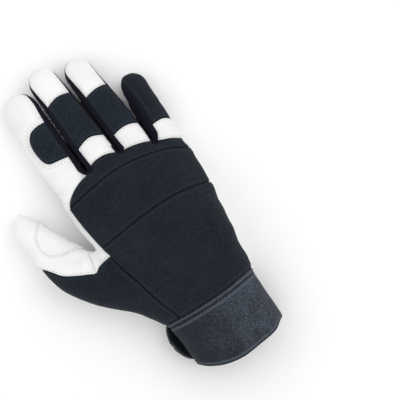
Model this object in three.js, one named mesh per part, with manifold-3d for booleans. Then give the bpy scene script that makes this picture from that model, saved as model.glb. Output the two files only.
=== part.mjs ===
// A right-hand mechanic's work glove, lying palm down: white leather palm, black padded
// stretch back in sewn panels, black stretch side walls between the fingers, and an elastic
// wrist cuff that closes with a strap under the wrist.
// Millimetres. +Z is up (the back of the hand), +Y runs from the wrist to the fingertips and
// the thumb is on the -X side. The origin is at the middle of the glove's footprint.
import * as THREE from 'three';
import { mergeVertices } from 'three/addons/utils/BufferGeometryUtils.js';
import Module from 'manifold-3d';

const wasm = await Module();
wasm.setup();

// Driving sizes
const handWidth = 95; // across the knuckles
const handLength = 120; // cuff seam to the finger forks
const handThickness = 43; // back of the hand above the table, at its thickest
const fingerLength = 98; // middle finger, from its root inside the hand to its tip
const fingerThickness = 21.5; // front to back, at the root
const thumbWidth = 24; // across the thumb at its knuckle
const thumbThickness = 24; // front to back, at the same place
const cuffLength = 40; // cuff seam to the open end, on the back
const wall = 1.8; // leather and padded cloth alike
const seamGap = 0.3; // between two pieces that are sewn together
const bindingWidth = 3.5; // raised edge along the top of the cuff
const strapThickness = 2.2;
const strapWidth = 32;
const strapClearance = 0.4; // strap to cuff
const strapFlare = 4.4; // how far the strap's end stands off the cuff
const strapTop = 5; // the strap's upper edge above the wrist line
const strapTip = 9; // length of the strap's round end
const patchThickness = 1.1; // leather patch laid on the thumb
const skinSides = { body: 28, thumb: 16, finger: 14 }; // facets round the outside
const liningSides = { body: 20, thumb: 10, finger: 10 }; // facets round the hollow
const tipHeight = 0.4; // of a fingertip's middle above the table, as a share of its thickness
const seamSteps = 1.6; // straight steps of a curved seam for each of its points
const strapSteps = 12; // straight steps round the strap's end
const far = 4 * handWidth; // past every surface

// Cross sections of the hand, from the cuff's open end to the finger forks.
// along: share of the cuff's or hand's length. left, right: share of handWidth.
// top, base: share of handThickness. bow: how far the section follows the knuckle curve.
const cuffSections = [
  { along: -1.3, left: -0.325, right: 0.394, top: 1.0, base: 0.061, bow: 0 },
  { along: -0.5, left: -0.332, right: 0.377, top: 0.99, base: 0.061, bow: 0 },
  { along: 0.0, left: -0.353, right: 0.373, top: 0.95, base: 0.061, bow: 0 },
];
const handSections = [
  { along: 0.07, left: -0.374, right: 0.384, top: 0.955, base: 0.061, bow: 0 },
  { along: 0.2, left: -0.405, right: 0.4, top: 0.985, base: -0.035, bow: 0 },
  { along: 0.36, left: -0.442, right: 0.43, top: 1.0, base: -0.045, bow: 0.05 },
  { along: 0.54, left: -0.48, right: 0.456, top: 0.975, base: -0.035, bow: 0.2 },
  { along: 0.71, left: -0.512, right: 0.464, top: 0.915, base: -0.01, bow: 0.6 },
  { along: 0.85, left: -0.53, right: 0.472, top: 0.845, base: -0.01, bow: 0.9 },
  { along: 0.94, left: -0.53, right: 0.475, top: 0.765, base: 0.03, bow: 1 },
  { along: 0.99, left: -0.522, right: 0.468, top: 0.665, base: 0.13, bow: 1 },
  { along: 1.02, left: -0.49, right: 0.44, top: 0.5, base: 0.25, bow: 1 },
];
const widestHeight = 0.45; // height of a section's widest place, as a share of its top
const sectionPower = 2.35; // 2 is an ellipse, more is boxier
const knuckleBow = { centre: -0.16, drop: 0.45 }; // the knuckle line falls back to each side

// Fingers, from the root inside the hand. x: share of handWidth, y: share of handLength.
// reach: share of fingerLength. width: share of handWidth. taper: width near the tip.
// depth: share of fingerThickness. height: of the root, share of handThickness. roll: degrees
// that the finger's back leans to the thumb's side. fork: share of handLength to its fork.
const fingers = {
  index: { rootX: -0.393, rootY: 0.875, tipX: -0.421, reach: 0.925, width: 0.27,
    taper: 0.955, depth: 1.0, height: 0.43, roll: 12, fork: 1.022 },
  middle: { rootX: -0.096, rootY: 0.875, tipX: -0.181, reach: 0.995, width: 0.266,
    taper: 0.85, depth: 1.0, height: 0.47, roll: -8, fork: 1.03 },
  ring: { rootX: 0.162, rootY: 0.875, tipX: 0.075, reach: 0.925, width: 0.25,
    taper: 0.84, depth: 0.95, height: 0.44, roll: -14, fork: 0.96 },
  little: { rootX: 0.36, rootY: 0.79, tipX: 0.372, reach: 0.73, width: 0.215,
    taper: 0.94, depth: 0.86, height: 0.36, roll: -38, fork: 0.9 },
};
// Width and thickness along a finger up to its rounded tip, as shares of its own
const fingerSections = [
  { along: 0, width: 0.86, depth: 0.8 },
  { along: 0.3, width: 0.97, depth: 1.0 },
  { along: 0.62, width: 1.0, depth: 0.96 },
  { along: 1, width: 1.0, depth: 0.87 },
];
const tipShares = [0.45, 0.76, 0.94, 1]; // stations round the tip
const tipLength = 1.25; // as a share of half the width there
const tipRound = 2.15; // 2 is an ellipse, more is blunter
const tipFlat = 0.2; // flat end of a tip, as a share of its full size
const leastHalf = 0.5; // no section of the thumb's hollow is smaller

// Thumb sections, outer edge to web edge. x: share of handWidth, y: share of handLength.
// width, depth: share of thumbWidth and thumbThickness. height: share of handThickness.
const thumbSections = [
  { x: -0.215, y: 0.085, width: 1.2, depth: 1.15, height: 0.4 },
  { x: -0.38, y: 0.29, width: 1.42, depth: 1.3, height: 0.4 },
  { x: -0.588, y: 0.457, width: 1.46, depth: 1.25, height: 0.39 },
  { x: -0.712, y: 0.587, width: 1.33, depth: 1.15, height: 0.36 },
  { x: -0.775, y: 0.705, width: 1.12, depth: 1.05, height: 0.33 },
  { x: -0.82, y: 0.81, width: 0.97, depth: 0.95, height: 0.3 },
  { x: -0.843, y: 0.895, width: 0.86, depth: 0.86, height: 0.27 },
  { x: -0.855, y: 0.96, width: 0.64, depth: 0.68, height: 0.245 },
  { x: -0.862, y: 1.0, width: 0.36, depth: 0.42, height: 0.23 },
  { x: -0.864, y: 1.014, width: 0.14, depth: 0.2, height: 0.225 },
];

const thumbStripRows = { first: 2, last: 7 }; // the sections beside the strip on its edge
const patchRows = { first: 4, last: 7 }; // the sections beside its patch

// Seams seen from above. Each point is [share of handWidth, share of handLength].
const seams = {
  cuff: [[-0.6, 0.05], [-0.36, 0.036], [-0.15, 0.028], [0.1, 0.03], [0.37, 0.05], [0.7, 0.07]],
  knuckleEdge: [[-0.51, 0.89], [-0.482, 0.925], [-0.42, 0.962], [-0.35, 0.988], [-0.255, 1.015],
    [-0.2, 1.042], [-0.09, 1.05], [0.0, 1.03], [0.045, 1.016], [0.13, 1.006], [0.25, 0.98],
    [0.315, 0.952], [0.39, 0.93], [0.465, 0.9], [0.62, 0.86]],
  knuckleLine: [[-0.62, 0.875], [-0.48, 0.897], [-0.3, 0.921], [-0.1, 0.94], [0.05, 0.934],
    [0.2, 0.912], [0.32, 0.888], [0.45, 0.838], [0.62, 0.79]],
  midLine: [[-0.62, 0.6], [-0.45, 0.603], [-0.3, 0.617], [0.0, 0.638], [0.2, 0.637],
    [0.44, 0.603], [0.62, 0.57]],
  thumbLine: [[-0.444, 0.54], [-0.42, 0.45], [-0.385, 0.36], [-0.352, 0.26], [-0.318, 0.165],
    [-0.27, 0.06], [-0.25, -0.02]],
  webEdge: [[-0.512, 0.9], [-0.506, 0.83], [-0.497, 0.76], [-0.478, 0.66], [-0.462, 0.59],
    [-0.444, 0.54]],
  thumbEdge: [[-0.444, 0.54], [-0.5, 0.535], [-0.55, 0.523], [-0.592, 0.503], [-0.65, 0.522],
    [-0.73, 0.553], [-0.81, 0.592], [-0.86, 0.64], [-0.9, 0.71]],
  thumbRoot: [[-0.545, 0.7], [-0.556, 0.635], [-0.572, 0.57], [-0.595, 0.505], [-0.65, 0.42],
    [-0.76, 0.33], [-0.95, 0.28]],
  thumbPatch: [[-0.735, 0.95], [-0.785, 0.905], [-0.83, 0.86], [-0.845, 0.81], [-0.84, 0.76],
    [-0.805, 0.715], [-0.745, 0.692], [-0.69, 0.685], [-0.6, 0.675]],
};

// Seams across the fingers' backs. Each point is [share of half the finger's width, share of
// the finger's reach].
const fingerSeams = {
  indexPad: [[1.6, 0.675], [0.72, 0.678], [0.25, 0.677], [-0.2, 0.66], [-0.55, 0.61],
    [-0.66, 0.545], [-0.63, 0.475], [-0.5, 0.415], [-0.25, 0.383], [0.1, 0.372], [0.7, 0.358],
    [1.6, 0.35]],
  middleTip: [[-1.6, 0.698], [-0.8, 0.715], [0, 0.732], [0.8, 0.715], [1.6, 0.698]],
  middleBand: [[-1.6, 0.315], [-0.8, 0.345], [0, 0.362], [0.8, 0.33], [1.6, 0.305]],
  ringTip: [[-1.6, 0.66], [-0.8, 0.676], [0, 0.685], [0.8, 0.676], [1.6, 0.65]],
  ringBand: [[-1.6, 0.3], [-0.8, 0.318], [0, 0.32], [0.8, 0.292], [1.6, 0.25]],
  littleBand: [[-1.6, 0.41], [-0.6, 0.427], [0, 0.43], [0.8, 0.4], [1.6, 0.37]],
};
// The side wall of a finger. above, below, atTip: shares of half its thickness, from its centre
// line. narrowFrom, nearTip: shares of its length.
const sideWall = { above: 0.6, below: 0.45, atTip: 0.1, narrowFrom: 0.66, nearTip: 0.88 };
// The fork between two fingers. width: share of handWidth. drop: share of handThickness.
// before, beyond: along the hand, in walls.
const fork = { width: 0.085, drop: 0.05, before: 2.5, beyond: 1.5 };
// How far a finger's back reaches to each side, as shares of half its width
const backReach = { inner: 1.06, index: 1.06, middle: 1.06, ring: 1.06, little: 1.3 };
// Heights of seams and edges, as shares of handThickness
const ulnarSeamHeight = 0.36; // back to palm, on the little finger's side
const radialSeamHeight = 0.18; // thumb panel to palm
const thumbStripTop = 0.33; // top of the strip along the thumb's outer edge
const cuffSeamHeight = 0.26; // elastic to underlap
const patchLow = 0.3; // lower edge of the thumb's patch
const strapHeight = 0.42; // round end of the strap
const ulnarHeight = ulnarSeamHeight * handThickness;
const radialHeight = radialSeamHeight * handThickness;
const cuffHeight = cuffSeamHeight * handThickness;

// Shapes
const lerp = (a, b, t) => a + (b - a) * t;
const clamp01 = (t) => Math.min(1, Math.max(0, t));
const signedPower = (v, p) => Math.sign(v) * Math.abs(v) ** p;
const vec = (x, y, z) => new THREE.Vector3(x, y, z);
const world = new THREE.Matrix4();

// A closed three.js geometry as a solid
function solidOf(geometry, frame = world) {
  const bare = new THREE.BufferGeometry();
  const source = geometry.index ? geometry.toNonIndexed() : geometry;
  bare.setAttribute('position', source.getAttribute('position').clone()).applyMatrix4(frame);
  const merged = mergeVertices(bare, 1e-4);
  return new wasm.Manifold(new wasm.Mesh({
    numProp: 3,
    vertProperties: merged.attributes.position.array,
    triVerts: new Uint32Array(merged.index.array),
  }));
}

function unite(solids) {
  return solids.reduce((sum, solid) => sum.add(solid));
}

// One round of points: a superellipse with its own half height above and below the centre
function ring({ centre, right, up, half, over, under, shift }, sides) {
  const points = [];
  for (let i = 0; i < sides; i += 1) {
    const angle = (2 * Math.PI * i) / sides;
    const across = half * signedPower(Math.cos(angle), 2 / sectionPower);
    const rise = (Math.sin(angle) > 0 ? over : under)
      * signedPower(Math.sin(angle), 2 / sectionPower);
    const point = centre.clone().addScaledVector(right, across).addScaledVector(up, rise);
    if (shift) point.y -= shift(point.x);
    points.push(point);
  }
  return points;
}

// A closed skin over rings that have the same number of points
function loft(stations, sides) {
  const rings = stations.map((station) => ring(station, sides));
  const positions = rings.flat().flatMap((p) => [p.x, p.y, p.z]);
  const faces = [];
  const quad = (a, b, c, d) => faces.push(a, b, c, a, c, d);
  for (let r = 0; r + 1 < rings.length; r += 1) {
    for (let i = 0; i < sides; i += 1) {
      const j = (i + 1) % sides;
      quad(r * sides + i, (r + 1) * sides + i, (r + 1) * sides + j, r * sides + j);
    }
  }
  const last = (rings.length - 1) * sides;
  for (let i = 0; i < sides / 2; i += 1) {
    const [a, b, c, d] = [i, i + 1, (sides - i - 1) % sides, (sides - i) % sides];
    if (i > 0) faces.push(a, b, d);
    if (i + 1 < sides / 2) faces.push(b, c, d);
    if (i > 0) faces.push(last + a, last + d, last + b);
    if (i + 1 < sides / 2) faces.push(last + b, last + d, last + c);
  }
  const geometry = new THREE.BufferGeometry();
  geometry.setAttribute('position', new THREE.Float32BufferAttribute(positions, 3));
  geometry.setIndex(faces);
  return solidOf(geometry);
}

// A smooth line through a few points
function through(points) {
  const curve = new THREE.CatmullRomCurve3(points.map(([x, y]) => vec(x, y, 0)), false,
    'centripetal');
  return curve.getPoints(Math.ceil(seamSteps * points.length)).map((p) => [p.x, p.y]);
}

// An outline moved outward by a distance, or inward if it is negative
function grown(points, distance) {
  const area = points.reduce((sum, [x, y], i) => {
    const [nextX, nextY] = points[(i + 1) % points.length];
    return sum + x * nextY - nextX * y;
  }, 0);
  const side = Math.sign(area);
  return points.map(([x, y], i) => {
    const before = points[(i + points.length - 1) % points.length];
    const after = points[(i + 1) % points.length];
    const a = new THREE.Vector2(x - before[0], y - before[1]).normalize();
    const b = new THREE.Vector2(after[0] - x, after[1] - y).normalize();
    const middle = a.clone().add(b).normalize();
    const stretch = distance / Math.max(0.5, middle.dot(b));
    return [x + side * middle.y * stretch, y - side * middle.x * stretch];
  });
}

// An outline in a frame's own XY plane, run from low to high along the frame's Z
function prism(points, low, high, frame = world) {
  const shape = new THREE.Shape(points.map(([x, y]) => new THREE.Vector2(x, y)));
  const geometry = new THREE.ExtrudeGeometry(shape, { depth: high - low, bevelEnabled: false });
  return solidOf(geometry.translate(0, 0, low), frame);
}

// A cutting region: called with a margin, it gives its solid grown by that much
const region = (points, low, high, frame) => (margin) => prism(
  grown(points, margin), low - margin, high + margin, frame,
);
const anyOf = (...regions) => (margin) => unite(regions.map((part) => part(margin)));

// The hand and cuff as one body. An offset moves its skin out, or in if it is negative.
const onHand = ([x, y]) => [x * handWidth, y * handLength];
const knuckleDrop = (x) => knuckleBow.drop
  * (x - knuckleBow.centre * handWidth) ** 2 / handWidth;

function bodyStations(offset, flare = 0) {
  const rows = [
    ...cuffSections.map((row) => ({ ...row, y: row.along * cuffLength })),
    ...handSections.map((row) => ({ ...row, y: row.along * handLength })),
  ];
  return rows.map((row, i) => {
    const top = row.top * handThickness;
    const base = row.base * handThickness;
    const height = widestHeight * top;
    const left = row.left * handWidth - flare;
    const right = row.right * handWidth;
    const fromEnd = i === rows.length - 1 ? offset : 0;
    return {
      centre: vec((left + right) / 2, row.y + fromEnd, height),
      right: vec(1, 0, 0),
      up: vec(0, 0, 1),
      half: (right - left) / 2 + offset,
      over: top - height + offset,
      under: height - base + offset,
      shift: (x) => row.bow * knuckleDrop(x),
    };
  });
}

// A finger's own frame: X across it, Y along it, Z out of its back
function fingerFrame(finger) {
  const depth = finger.depth * fingerThickness;
  const root = vec(finger.rootX * handWidth, finger.rootY * handLength,
    finger.height * handThickness);
  const tip = vec(finger.tipX * handWidth,
    finger.rootY * handLength + finger.reach * fingerLength, tipHeight * depth);
  const along = tip.clone().sub(root);
  const length = along.length();
  along.normalize();
  const level = vec(along.y, -along.x, 0).normalize();
  const right = level.applyAxisAngle(along, THREE.MathUtils.degToRad(-finger.roll));
  const up = right.clone().cross(along);
  const frame = new THREE.Matrix4().makeBasis(right, along, up).setPosition(root);
  return {
    ...finger, root, along, right, up, length, frame,
    half: finger.width * handWidth / 2,
    thick: depth / 2,
  };
}

function fingerStations(finger, offset) {
  const length = finger.length + offset;
  const tip = tipLength * finger.half * finger.taper;
  const straight = length - tip;
  const last = fingerSections[fingerSections.length - 1];
  const rows = [
    ...fingerSections.map((row) => ({ ...row, y: row.along * straight, round: 1 })),
    ...tipShares.map((t) => ({
      ...last, y: straight + t * tip, round: Math.max(tipFlat, (1 - t ** tipRound) ** 0.5),
    })),
  ];
  return rows.map((row) => {
    const slim = lerp(1, finger.taper, clamp01(row.y / straight) ** 2);
    const thick = (finger.thick * row.depth + offset) * row.round;
    return {
      centre: finger.root.clone().addScaledVector(finger.along, row.y),
      right: finger.right,
      up: finger.up,
      half: (finger.half * row.width * slim + offset) * row.round,
      over: thick,
      under: thick,
    };
  });
}

function thumbStations(offset) {
  const places = thumbSections.map((row) => vec(row.x * handWidth, row.y * handLength,
    row.height * handThickness));
  const lastRow = thumbSections.length - 1;
  return thumbSections.map((row, i) => {
    const along = places[Math.min(i + 1, lastRow)].clone()
      .sub(places[Math.max(i - 1, 0)]).normalize();
    const right = vec(along.y, -along.x, 0).normalize();
    const thick = Math.max(leastHalf, row.depth * thumbThickness / 2 + offset);
    return {
      centre: places[i].clone().addScaledVector(along, i === lastRow ? offset : 0),
      right,
      up: right.clone().cross(along),
      half: Math.max(leastHalf, row.width * thumbWidth / 2 + offset),
      over: thick,
      under: thick,
    };
  });
}

const framed = Object.fromEntries(
  Object.entries(fingers).map(([name, finger]) => [name, fingerFrame(finger)]),
);

// Everything inside the outer skin, or inside the hollow. The table flattens the underside.
function handForm(offset, sides) {
  const form = unite([
    loft(bodyStations(offset), sides.body),
    loft(thumbStations(offset), sides.thumb),
    ...Object.values(framed).map((finger) => loft(fingerStations(finger, offset), sides.finger)),
  ]);
  const table = [[-far, -far], [far, -far], [far, far], [-far, far]];
  return form.subtract(prism(table, -far, -offset));
}

// The open end of the cuff, seen from above
const cuffEnd = [
  [-1.6, -0.5], [-0.36, -0.72], [-0.27, -0.86], [-0.17, -0.97], [-0.03, -1.03], [0.13, -1.0],
  [0.28, -0.95], [0.38, -0.83], [1.6, -0.6],
].map(([x, y]) => [x * handWidth, y * cuffLength]);
const beyondCuff = prism([...through(cuffEnd), [far, -far], [-far, -far]], -far, far);
const shell = handForm(0, skinSides)
  .subtract(handForm(-wall, liningSides))
  .subtract(beyondCuff);

// Regions that the pieces are cut from
const seamLine = (name) => through(seams[name].map(onHand));
const below = (line) => [...line, [far, -far], [-far, -far]];

// The side of a finger that faces its neighbour, narrowing to the tip
function fingerSide(finger, side, start, reach) {
  const above = sideWall.above * finger.thick;
  const under = sideWall.below * finger.thick;
  const tip = sideWall.atTip * finger.thick;
  const narrow = sideWall.narrowFrom * finger.length;
  const nearTip = sideWall.nearTip * finger.length;
  const end = finger.length + wall;
  const outline = [
    [start, -under], [narrow, -under], [nearTip, -(under + tip) / 2], [finger.length - wall, -tip],
    [end, -tip], [end, tip], [finger.length - wall, tip], [nearTip, (above + tip) / 2],
    [narrow, above], [start, above],
  ];
  const outward = finger.along.clone().cross(finger.up);
  const frame = new THREE.Matrix4().makeBasis(finger.along, finger.up, outward)
    .setPosition(finger.root);
  return side > 0 ? region(outline, 0, reach, frame) : region(outline, -reach, 0, frame);
}

// The side walls of two neighbouring fingers and the fork between them
function forkRegion(leftName, rightName) {
  const [left, right] = [framed[leftName], framed[rightName]];
  const forkY = left.fork * handLength;
  const forkX = (left.rootX + right.rootX) * handWidth / 2;
  const forkZ = (left.root.z + right.root.z) / 2 - fork.drop * handThickness;
  const half = fork.width * handWidth / 2;
  const tall = sideWall.above * left.thick;
  const ends = [forkY - fork.before * wall, forkY + fork.beyond * wall];
  const bridge = [
    [forkX - half, ends[0]], [forkX + half, ends[0]],
    [forkX + half, ends[1]], [forkX - half, ends[1]],
  ];
  return anyOf(
    fingerSide(left, 1, forkY - left.root.y, left.half + seamGap),
    fingerSide(right, -1, forkY - right.root.y, right.half + seamGap),
    region(bridge, forkZ - tall, forkZ + tall),
  );
}

// The part of a finger's back inside an outline, given in its own frame
function onFingerBack(name, outline) {
  const finger = framed[name];
  const [left, right] = [-backReach.inner * finger.half, backReach[name] * finger.half];
  const strip = [[left, -far], [right, -far], [right, far], [left, far]];
  return (margin) => prism(grown(strip, margin), -margin, far, finger.frame)
    .intersect(prism(grown(outline, margin), -far, far, finger.frame));
}

// The seam across a finger's back, in its own frame
function fingerSeam(name, seam) {
  const finger = framed[name];
  return through(seam.map(([x, y]) => [x * finger.half, y * finger.length]));
}

// The part of a finger's back beyond a seam across it, or all of it
function fingerBack(name, seamName) {
  const line = fingerSeam(name, seamName ? fingerSeams[seamName] : [[-1, 0], [1, 0]]);
  const outline = [[-far, line[0][1]], ...line, [far, line[line.length - 1][1]], [far, far],
    [-far, far]];
  return onFingerBack(name, outline);
}

// The back of the hand below a line: right of the web and thumb seams, above the ulnar seam
function handBack(lineName) {
  const left = [...seamLine('webEdge'), ...seamLine('thumbLine').slice(1)];
  const field = [[left[0][0], far], ...left, [left[left.length - 1][0], -far], [far, -far],
    [far, far]];
  return (margin) => prism(grown(field, margin), ulnarHeight - margin, far)
    .intersect(prism(grown(below(seamLine(lineName)), margin), -far, far));
}

// The thumb's outer side down to the cuff, and the strip along its edge
function thumbSide() {
  const edge = seamLine('thumbEdge');
  const panel = [
    ...seamLine('thumbLine').reverse(), ...edge.slice(1), [-far, edge[edge.length - 1][1]],
    [-far, -far], [seams.thumbLine[seams.thumbLine.length - 1][0] * handWidth, -far],
  ];
  const middle = thumbSections.slice(thumbStripRows.first, thumbStripRows.last + 1)
    .map(({ x, y }) => onHand([x, y]));
  const strip = [...middle, [-far, middle[middle.length - 1][1]], [-far, middle[0][1]]];
  return anyOf(
    region(panel, radialHeight, far),
    region(strip, radialHeight, thumbStripTop * handThickness),
  );
}

function thumbLeather() {
  const root = seamLine('thumbRoot');
  return region([...root, [-far, root[root.length - 1][1]], [-far, far], [root[0][0], far]],
    -far, far);
}

// The cuff: the raised binding, the elastic back and the underlap
const cuffLine = seamLine('cuff');
const bindingLine = cuffLine.map(([x, y]) => [x, y - bindingWidth]);

// A patch laid on the thumb, wrapping over its inner edge
function thumbPatch() {
  const outline = seamLine('thumbPatch');
  const inner = thumbSections.slice(patchRows.first, patchRows.last + 1)
    .map(({ x, y, width }) => [x * handWidth + width * thumbWidth, y * handLength]);
  const lifted = loft(thumbStations(seamGap + patchThickness), skinSides.thumb)
    .subtract(loft(thumbStations(seamGap), skinSides.thumb));
  const height = patchLow * handThickness;
  return lifted.intersect(prism([...outline, ...inner], height, far));
}

// The closing strap: round the underside of the cuff, its round end standing off at the thumb
function wristStrap() {
  const outer = loft(bodyStations(strapClearance + strapThickness, strapFlare), skinSides.body);
  const inner = loft(bodyStations(strapClearance, strapFlare), skinSides.body);
  const cuff = loft(bodyStations(strapClearance), skinSides.body);
  const thumb = loft(thumbStations(strapClearance), skinSides.thumb);
  const [low, high] = [strapTop - strapWidth, strapTop];
  const tipX = cuffSections[1].left * handWidth - strapClearance - strapThickness - strapFlare;
  const arc = new THREE.EllipseCurve(tipX + strapTip, (low + high) / 2, strapTip,
    strapWidth / 2, -Math.PI / 2, Math.PI / 2, true);
  const round = arc.getPoints(strapSteps).map(({ x, y }) => [x, y]);
  const height = strapHeight * handThickness;
  const radial = prism([...round, [0, high], [0, low]], -far, height);
  const ulnar = prism([[0, low], [far, low], [far, high], [0, high]], -far, cuffHeight);
  return outer.subtract(inner).subtract(cuff).subtract(thumb).intersect(radial.add(ulnar));
}

const materials = {
  leather: new THREE.MeshStandardMaterial({ color: 0xeeeeec, roughness: 0.55, metalness: 0 }),
  stretch: new THREE.MeshStandardMaterial({ color: 0x22262c, roughness: 0.85, metalness: 0 }),
  sideCloth: new THREE.MeshStandardMaterial({ color: 0x16171f, roughness: 0.75, metalness: 0 }),
  elastic: new THREE.MeshStandardMaterial({ color: 0x34383f, roughness: 0.95, metalness: 0 }),
  strap: new THREE.MeshStandardMaterial({ color: 0x191c20, roughness: 0.7, metalness: 0 }),
};

const glove = new THREE.Group();

// A cut leaves slivers beside the piece where seams cross, so only its largest body is kept
function mainBody(solid) {
  return solid.decompose().reduce((best, body) => (body.volume() > best.volume() ? body : best));
}

function addPiece(name, solid, material) {
  const mesh = mainBody(solid).getMesh();
  const geometry = new THREE.BufferGeometry();
  geometry.setAttribute('position', new THREE.BufferAttribute(
    new Float32Array(mesh.vertProperties), 3));
  geometry.setIndex(new THREE.BufferAttribute(new Uint32Array(mesh.triVerts), 1));
  geometry.computeVertexNormals();
  const piece = new THREE.Mesh(geometry, materials[material]);
  piece.name = name;
  glove.add(piece);
}

// Cuts one piece after another from the shell, each with half a seam's gap round it
let rest = shell;
function cutPiece(name, material, cut) {
  addPiece(name, rest.intersect(cut(-seamGap / 2)), material);
  rest = rest.subtract(cut(seamGap / 2));
}

cutPiece('fourchette_index_middle', 'sideCloth', forkRegion('index', 'middle'));
cutPiece('fourchette_middle_ring', 'sideCloth', forkRegion('middle', 'ring'));
cutPiece('fourchette_ring_little', 'sideCloth', forkRegion('ring', 'little'));
cutPiece('cuff_band', 'elastic', region(below(bindingLine), cuffHeight, far));
cutPiece('cuff_binding', 'elastic', region(below(cuffLine), cuffHeight, far));
cutPiece('cuff_base', 'strap', region(below(cuffLine), -far, far));
cutPiece('back_lower_panel', 'stretch', handBack('midLine'));
cutPiece('back_mid_panel', 'stretch', handBack('knuckleLine'));
cutPiece('knuckle_panel', 'stretch', handBack('knuckleEdge'));
cutPiece('thumb_side_panel', 'stretch', thumbSide());
cutPiece('thumb_leather', 'leather', thumbLeather());
cutPiece('index_knuckle_pad', 'stretch', onFingerBack(
  'index', fingerSeam('index', fingerSeams.indexPad)));
cutPiece('middle_tip', 'leather', fingerBack('middle', 'middleTip'));
cutPiece('middle_knuckle_pad', 'stretch', fingerBack('middle', 'middleBand'));
cutPiece('middle_band', 'leather', fingerBack('middle'));
cutPiece('ring_tip', 'leather', fingerBack('ring', 'ringTip'));
cutPiece('ring_knuckle_pad', 'stretch', fingerBack('ring', 'ringBand'));
cutPiece('ring_band', 'leather', fingerBack('ring'));
cutPiece('little_back', 'stretch', fingerBack('little', 'littleBand'));
cutPiece('little_band', 'leather', fingerBack('little'));
addPiece('palm_leather', rest, 'leather');
addPiece('thumb_patch', thumbPatch(), 'leather');
addPiece('wrist_strap', wristStrap(), 'strap');

// The origin goes to the middle of the footprint, on the table
const box = new THREE.Box3().setFromObject(glove);
const middle = box.getCenter(vec(0, 0, 0));
glove.position.set(-middle.x, -middle.y, -box.min.z);

export default glove;
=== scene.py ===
"""Looks of a right-hand mechanic's work glove, palm down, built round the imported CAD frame.

Sizes are in millimetres in the glove's own frame until a piece is made: the origin is the
middle of the wrist seam, +Y runs to the fingertips, +X to the little finger, +Z is up.
"""
import math
from collections import namedtuple
import bpy
import numpy as np
import openvdb
from mathutils import Matrix, Vector
from mathutils.kdtree import KDTree


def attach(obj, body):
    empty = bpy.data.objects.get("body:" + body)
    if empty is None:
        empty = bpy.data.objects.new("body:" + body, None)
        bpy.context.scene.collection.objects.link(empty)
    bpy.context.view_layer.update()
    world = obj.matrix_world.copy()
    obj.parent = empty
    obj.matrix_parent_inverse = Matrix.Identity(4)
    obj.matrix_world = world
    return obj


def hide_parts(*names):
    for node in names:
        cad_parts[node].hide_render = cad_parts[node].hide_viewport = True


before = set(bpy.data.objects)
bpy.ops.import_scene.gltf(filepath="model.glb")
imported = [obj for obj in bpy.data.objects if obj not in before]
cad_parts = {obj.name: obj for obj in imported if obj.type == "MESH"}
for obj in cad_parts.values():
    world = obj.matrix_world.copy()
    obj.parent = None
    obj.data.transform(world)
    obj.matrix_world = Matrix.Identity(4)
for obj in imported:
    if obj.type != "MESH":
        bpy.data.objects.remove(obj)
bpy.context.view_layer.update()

MM = 0.001
WRIST = np.array([22.554, -80.799, 0.0])  # the wrist seam's middle in the row frame

# Driving sizes
HAND_WIDTH = 95.0
HAND_LENGTH = 120.0
HAND_THICKNESS = 43.0
FINGER_LENGTH = 98.0
FINGER_THICKNESS = 21.5
THUMB_WIDTH = 24.0
THUMB_THICKNESS = 24.0
CUFF_LENGTH = 40.0
BINDING_WIDTH = 3.5
POWER = 2.35
FINEST = 0.9  # spacing of the skin's vertices
BOX_LOW, BOX_HIGH = (-95.0, -46.0, -2.5), (51.0, 208.0, 47.5)  # the skin lies between these
FINGERS_FROM, THUMB_UPTO = 96.0, 132.0  # fingers lie above the first, the thumb below the second
BLEND, KNUCKLE_BLEND, FLOOR_BLEND = 4, 3, 2.5  # how softly forms run into each other
DEPTH_KEPT = 3.0  # how far from the skin the forms are followed

# Sections: (share of the cuff's or hand's length, left, right, top, base, knuckle bow)
CUFF_ROWS = [(-1.3, -0.325, 0.394, 1.0, 0.061, 0), (-0.5, -0.332, 0.377, 0.99, 0.061, 0),
             (0.0, -0.353, 0.373, 0.95, 0.061, 0)]
HAND_ROWS = [
    (0.07, -0.374, 0.384, 0.955, 0.061, 0), (0.2, -0.405, 0.4, 0.985, -0.035, 0),
    (0.36, -0.442, 0.43, 1.0, -0.045, 0.05), (0.54, -0.48, 0.456, 0.975, -0.035, 0.2),
    (0.71, -0.512, 0.464, 0.915, -0.01, 0.6), (0.85, -0.53, 0.472, 0.845, -0.01, 0.9),
    (0.94, -0.53, 0.475, 0.765, 0.03, 1), (0.99, -0.522, 0.468, 0.665, 0.13, 1),
    (1.02, -0.49, 0.44, 0.5, 0.25, 1)]
WIDEST_HEIGHT = 0.45
BOW_CENTRE, BOW_DROP = -0.16, 0.45

# Fingers: root x, root y, tip x, reach, width, taper, depth, height, roll, fork
FINGERS = {
    "index": (-0.393, 0.875, -0.421, 0.925, 0.27, 0.955, 1.0, 0.43, 12, 1.022),
    "middle": (-0.096, 0.875, -0.181, 0.995, 0.266, 0.85, 1.0, 0.47, -8, 1.03),
    "ring": (0.162, 0.875, 0.075, 0.925, 0.25, 0.84, 0.95, 0.44, -14, 0.96),
    "little": (0.36, 0.79, 0.372, 0.73, 0.215, 0.94, 0.86, 0.36, -38, 0.9)}
FINGER_ROWS = [(0, 0.86, 0.8), (0.3, 0.97, 1.0), (0.62, 1.0, 0.96), (1, 1.0, 0.87)]
TIP_LENGTH, TIP_ROUND, TIP_HEIGHT = 1.25, 2.15, 0.4

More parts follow.
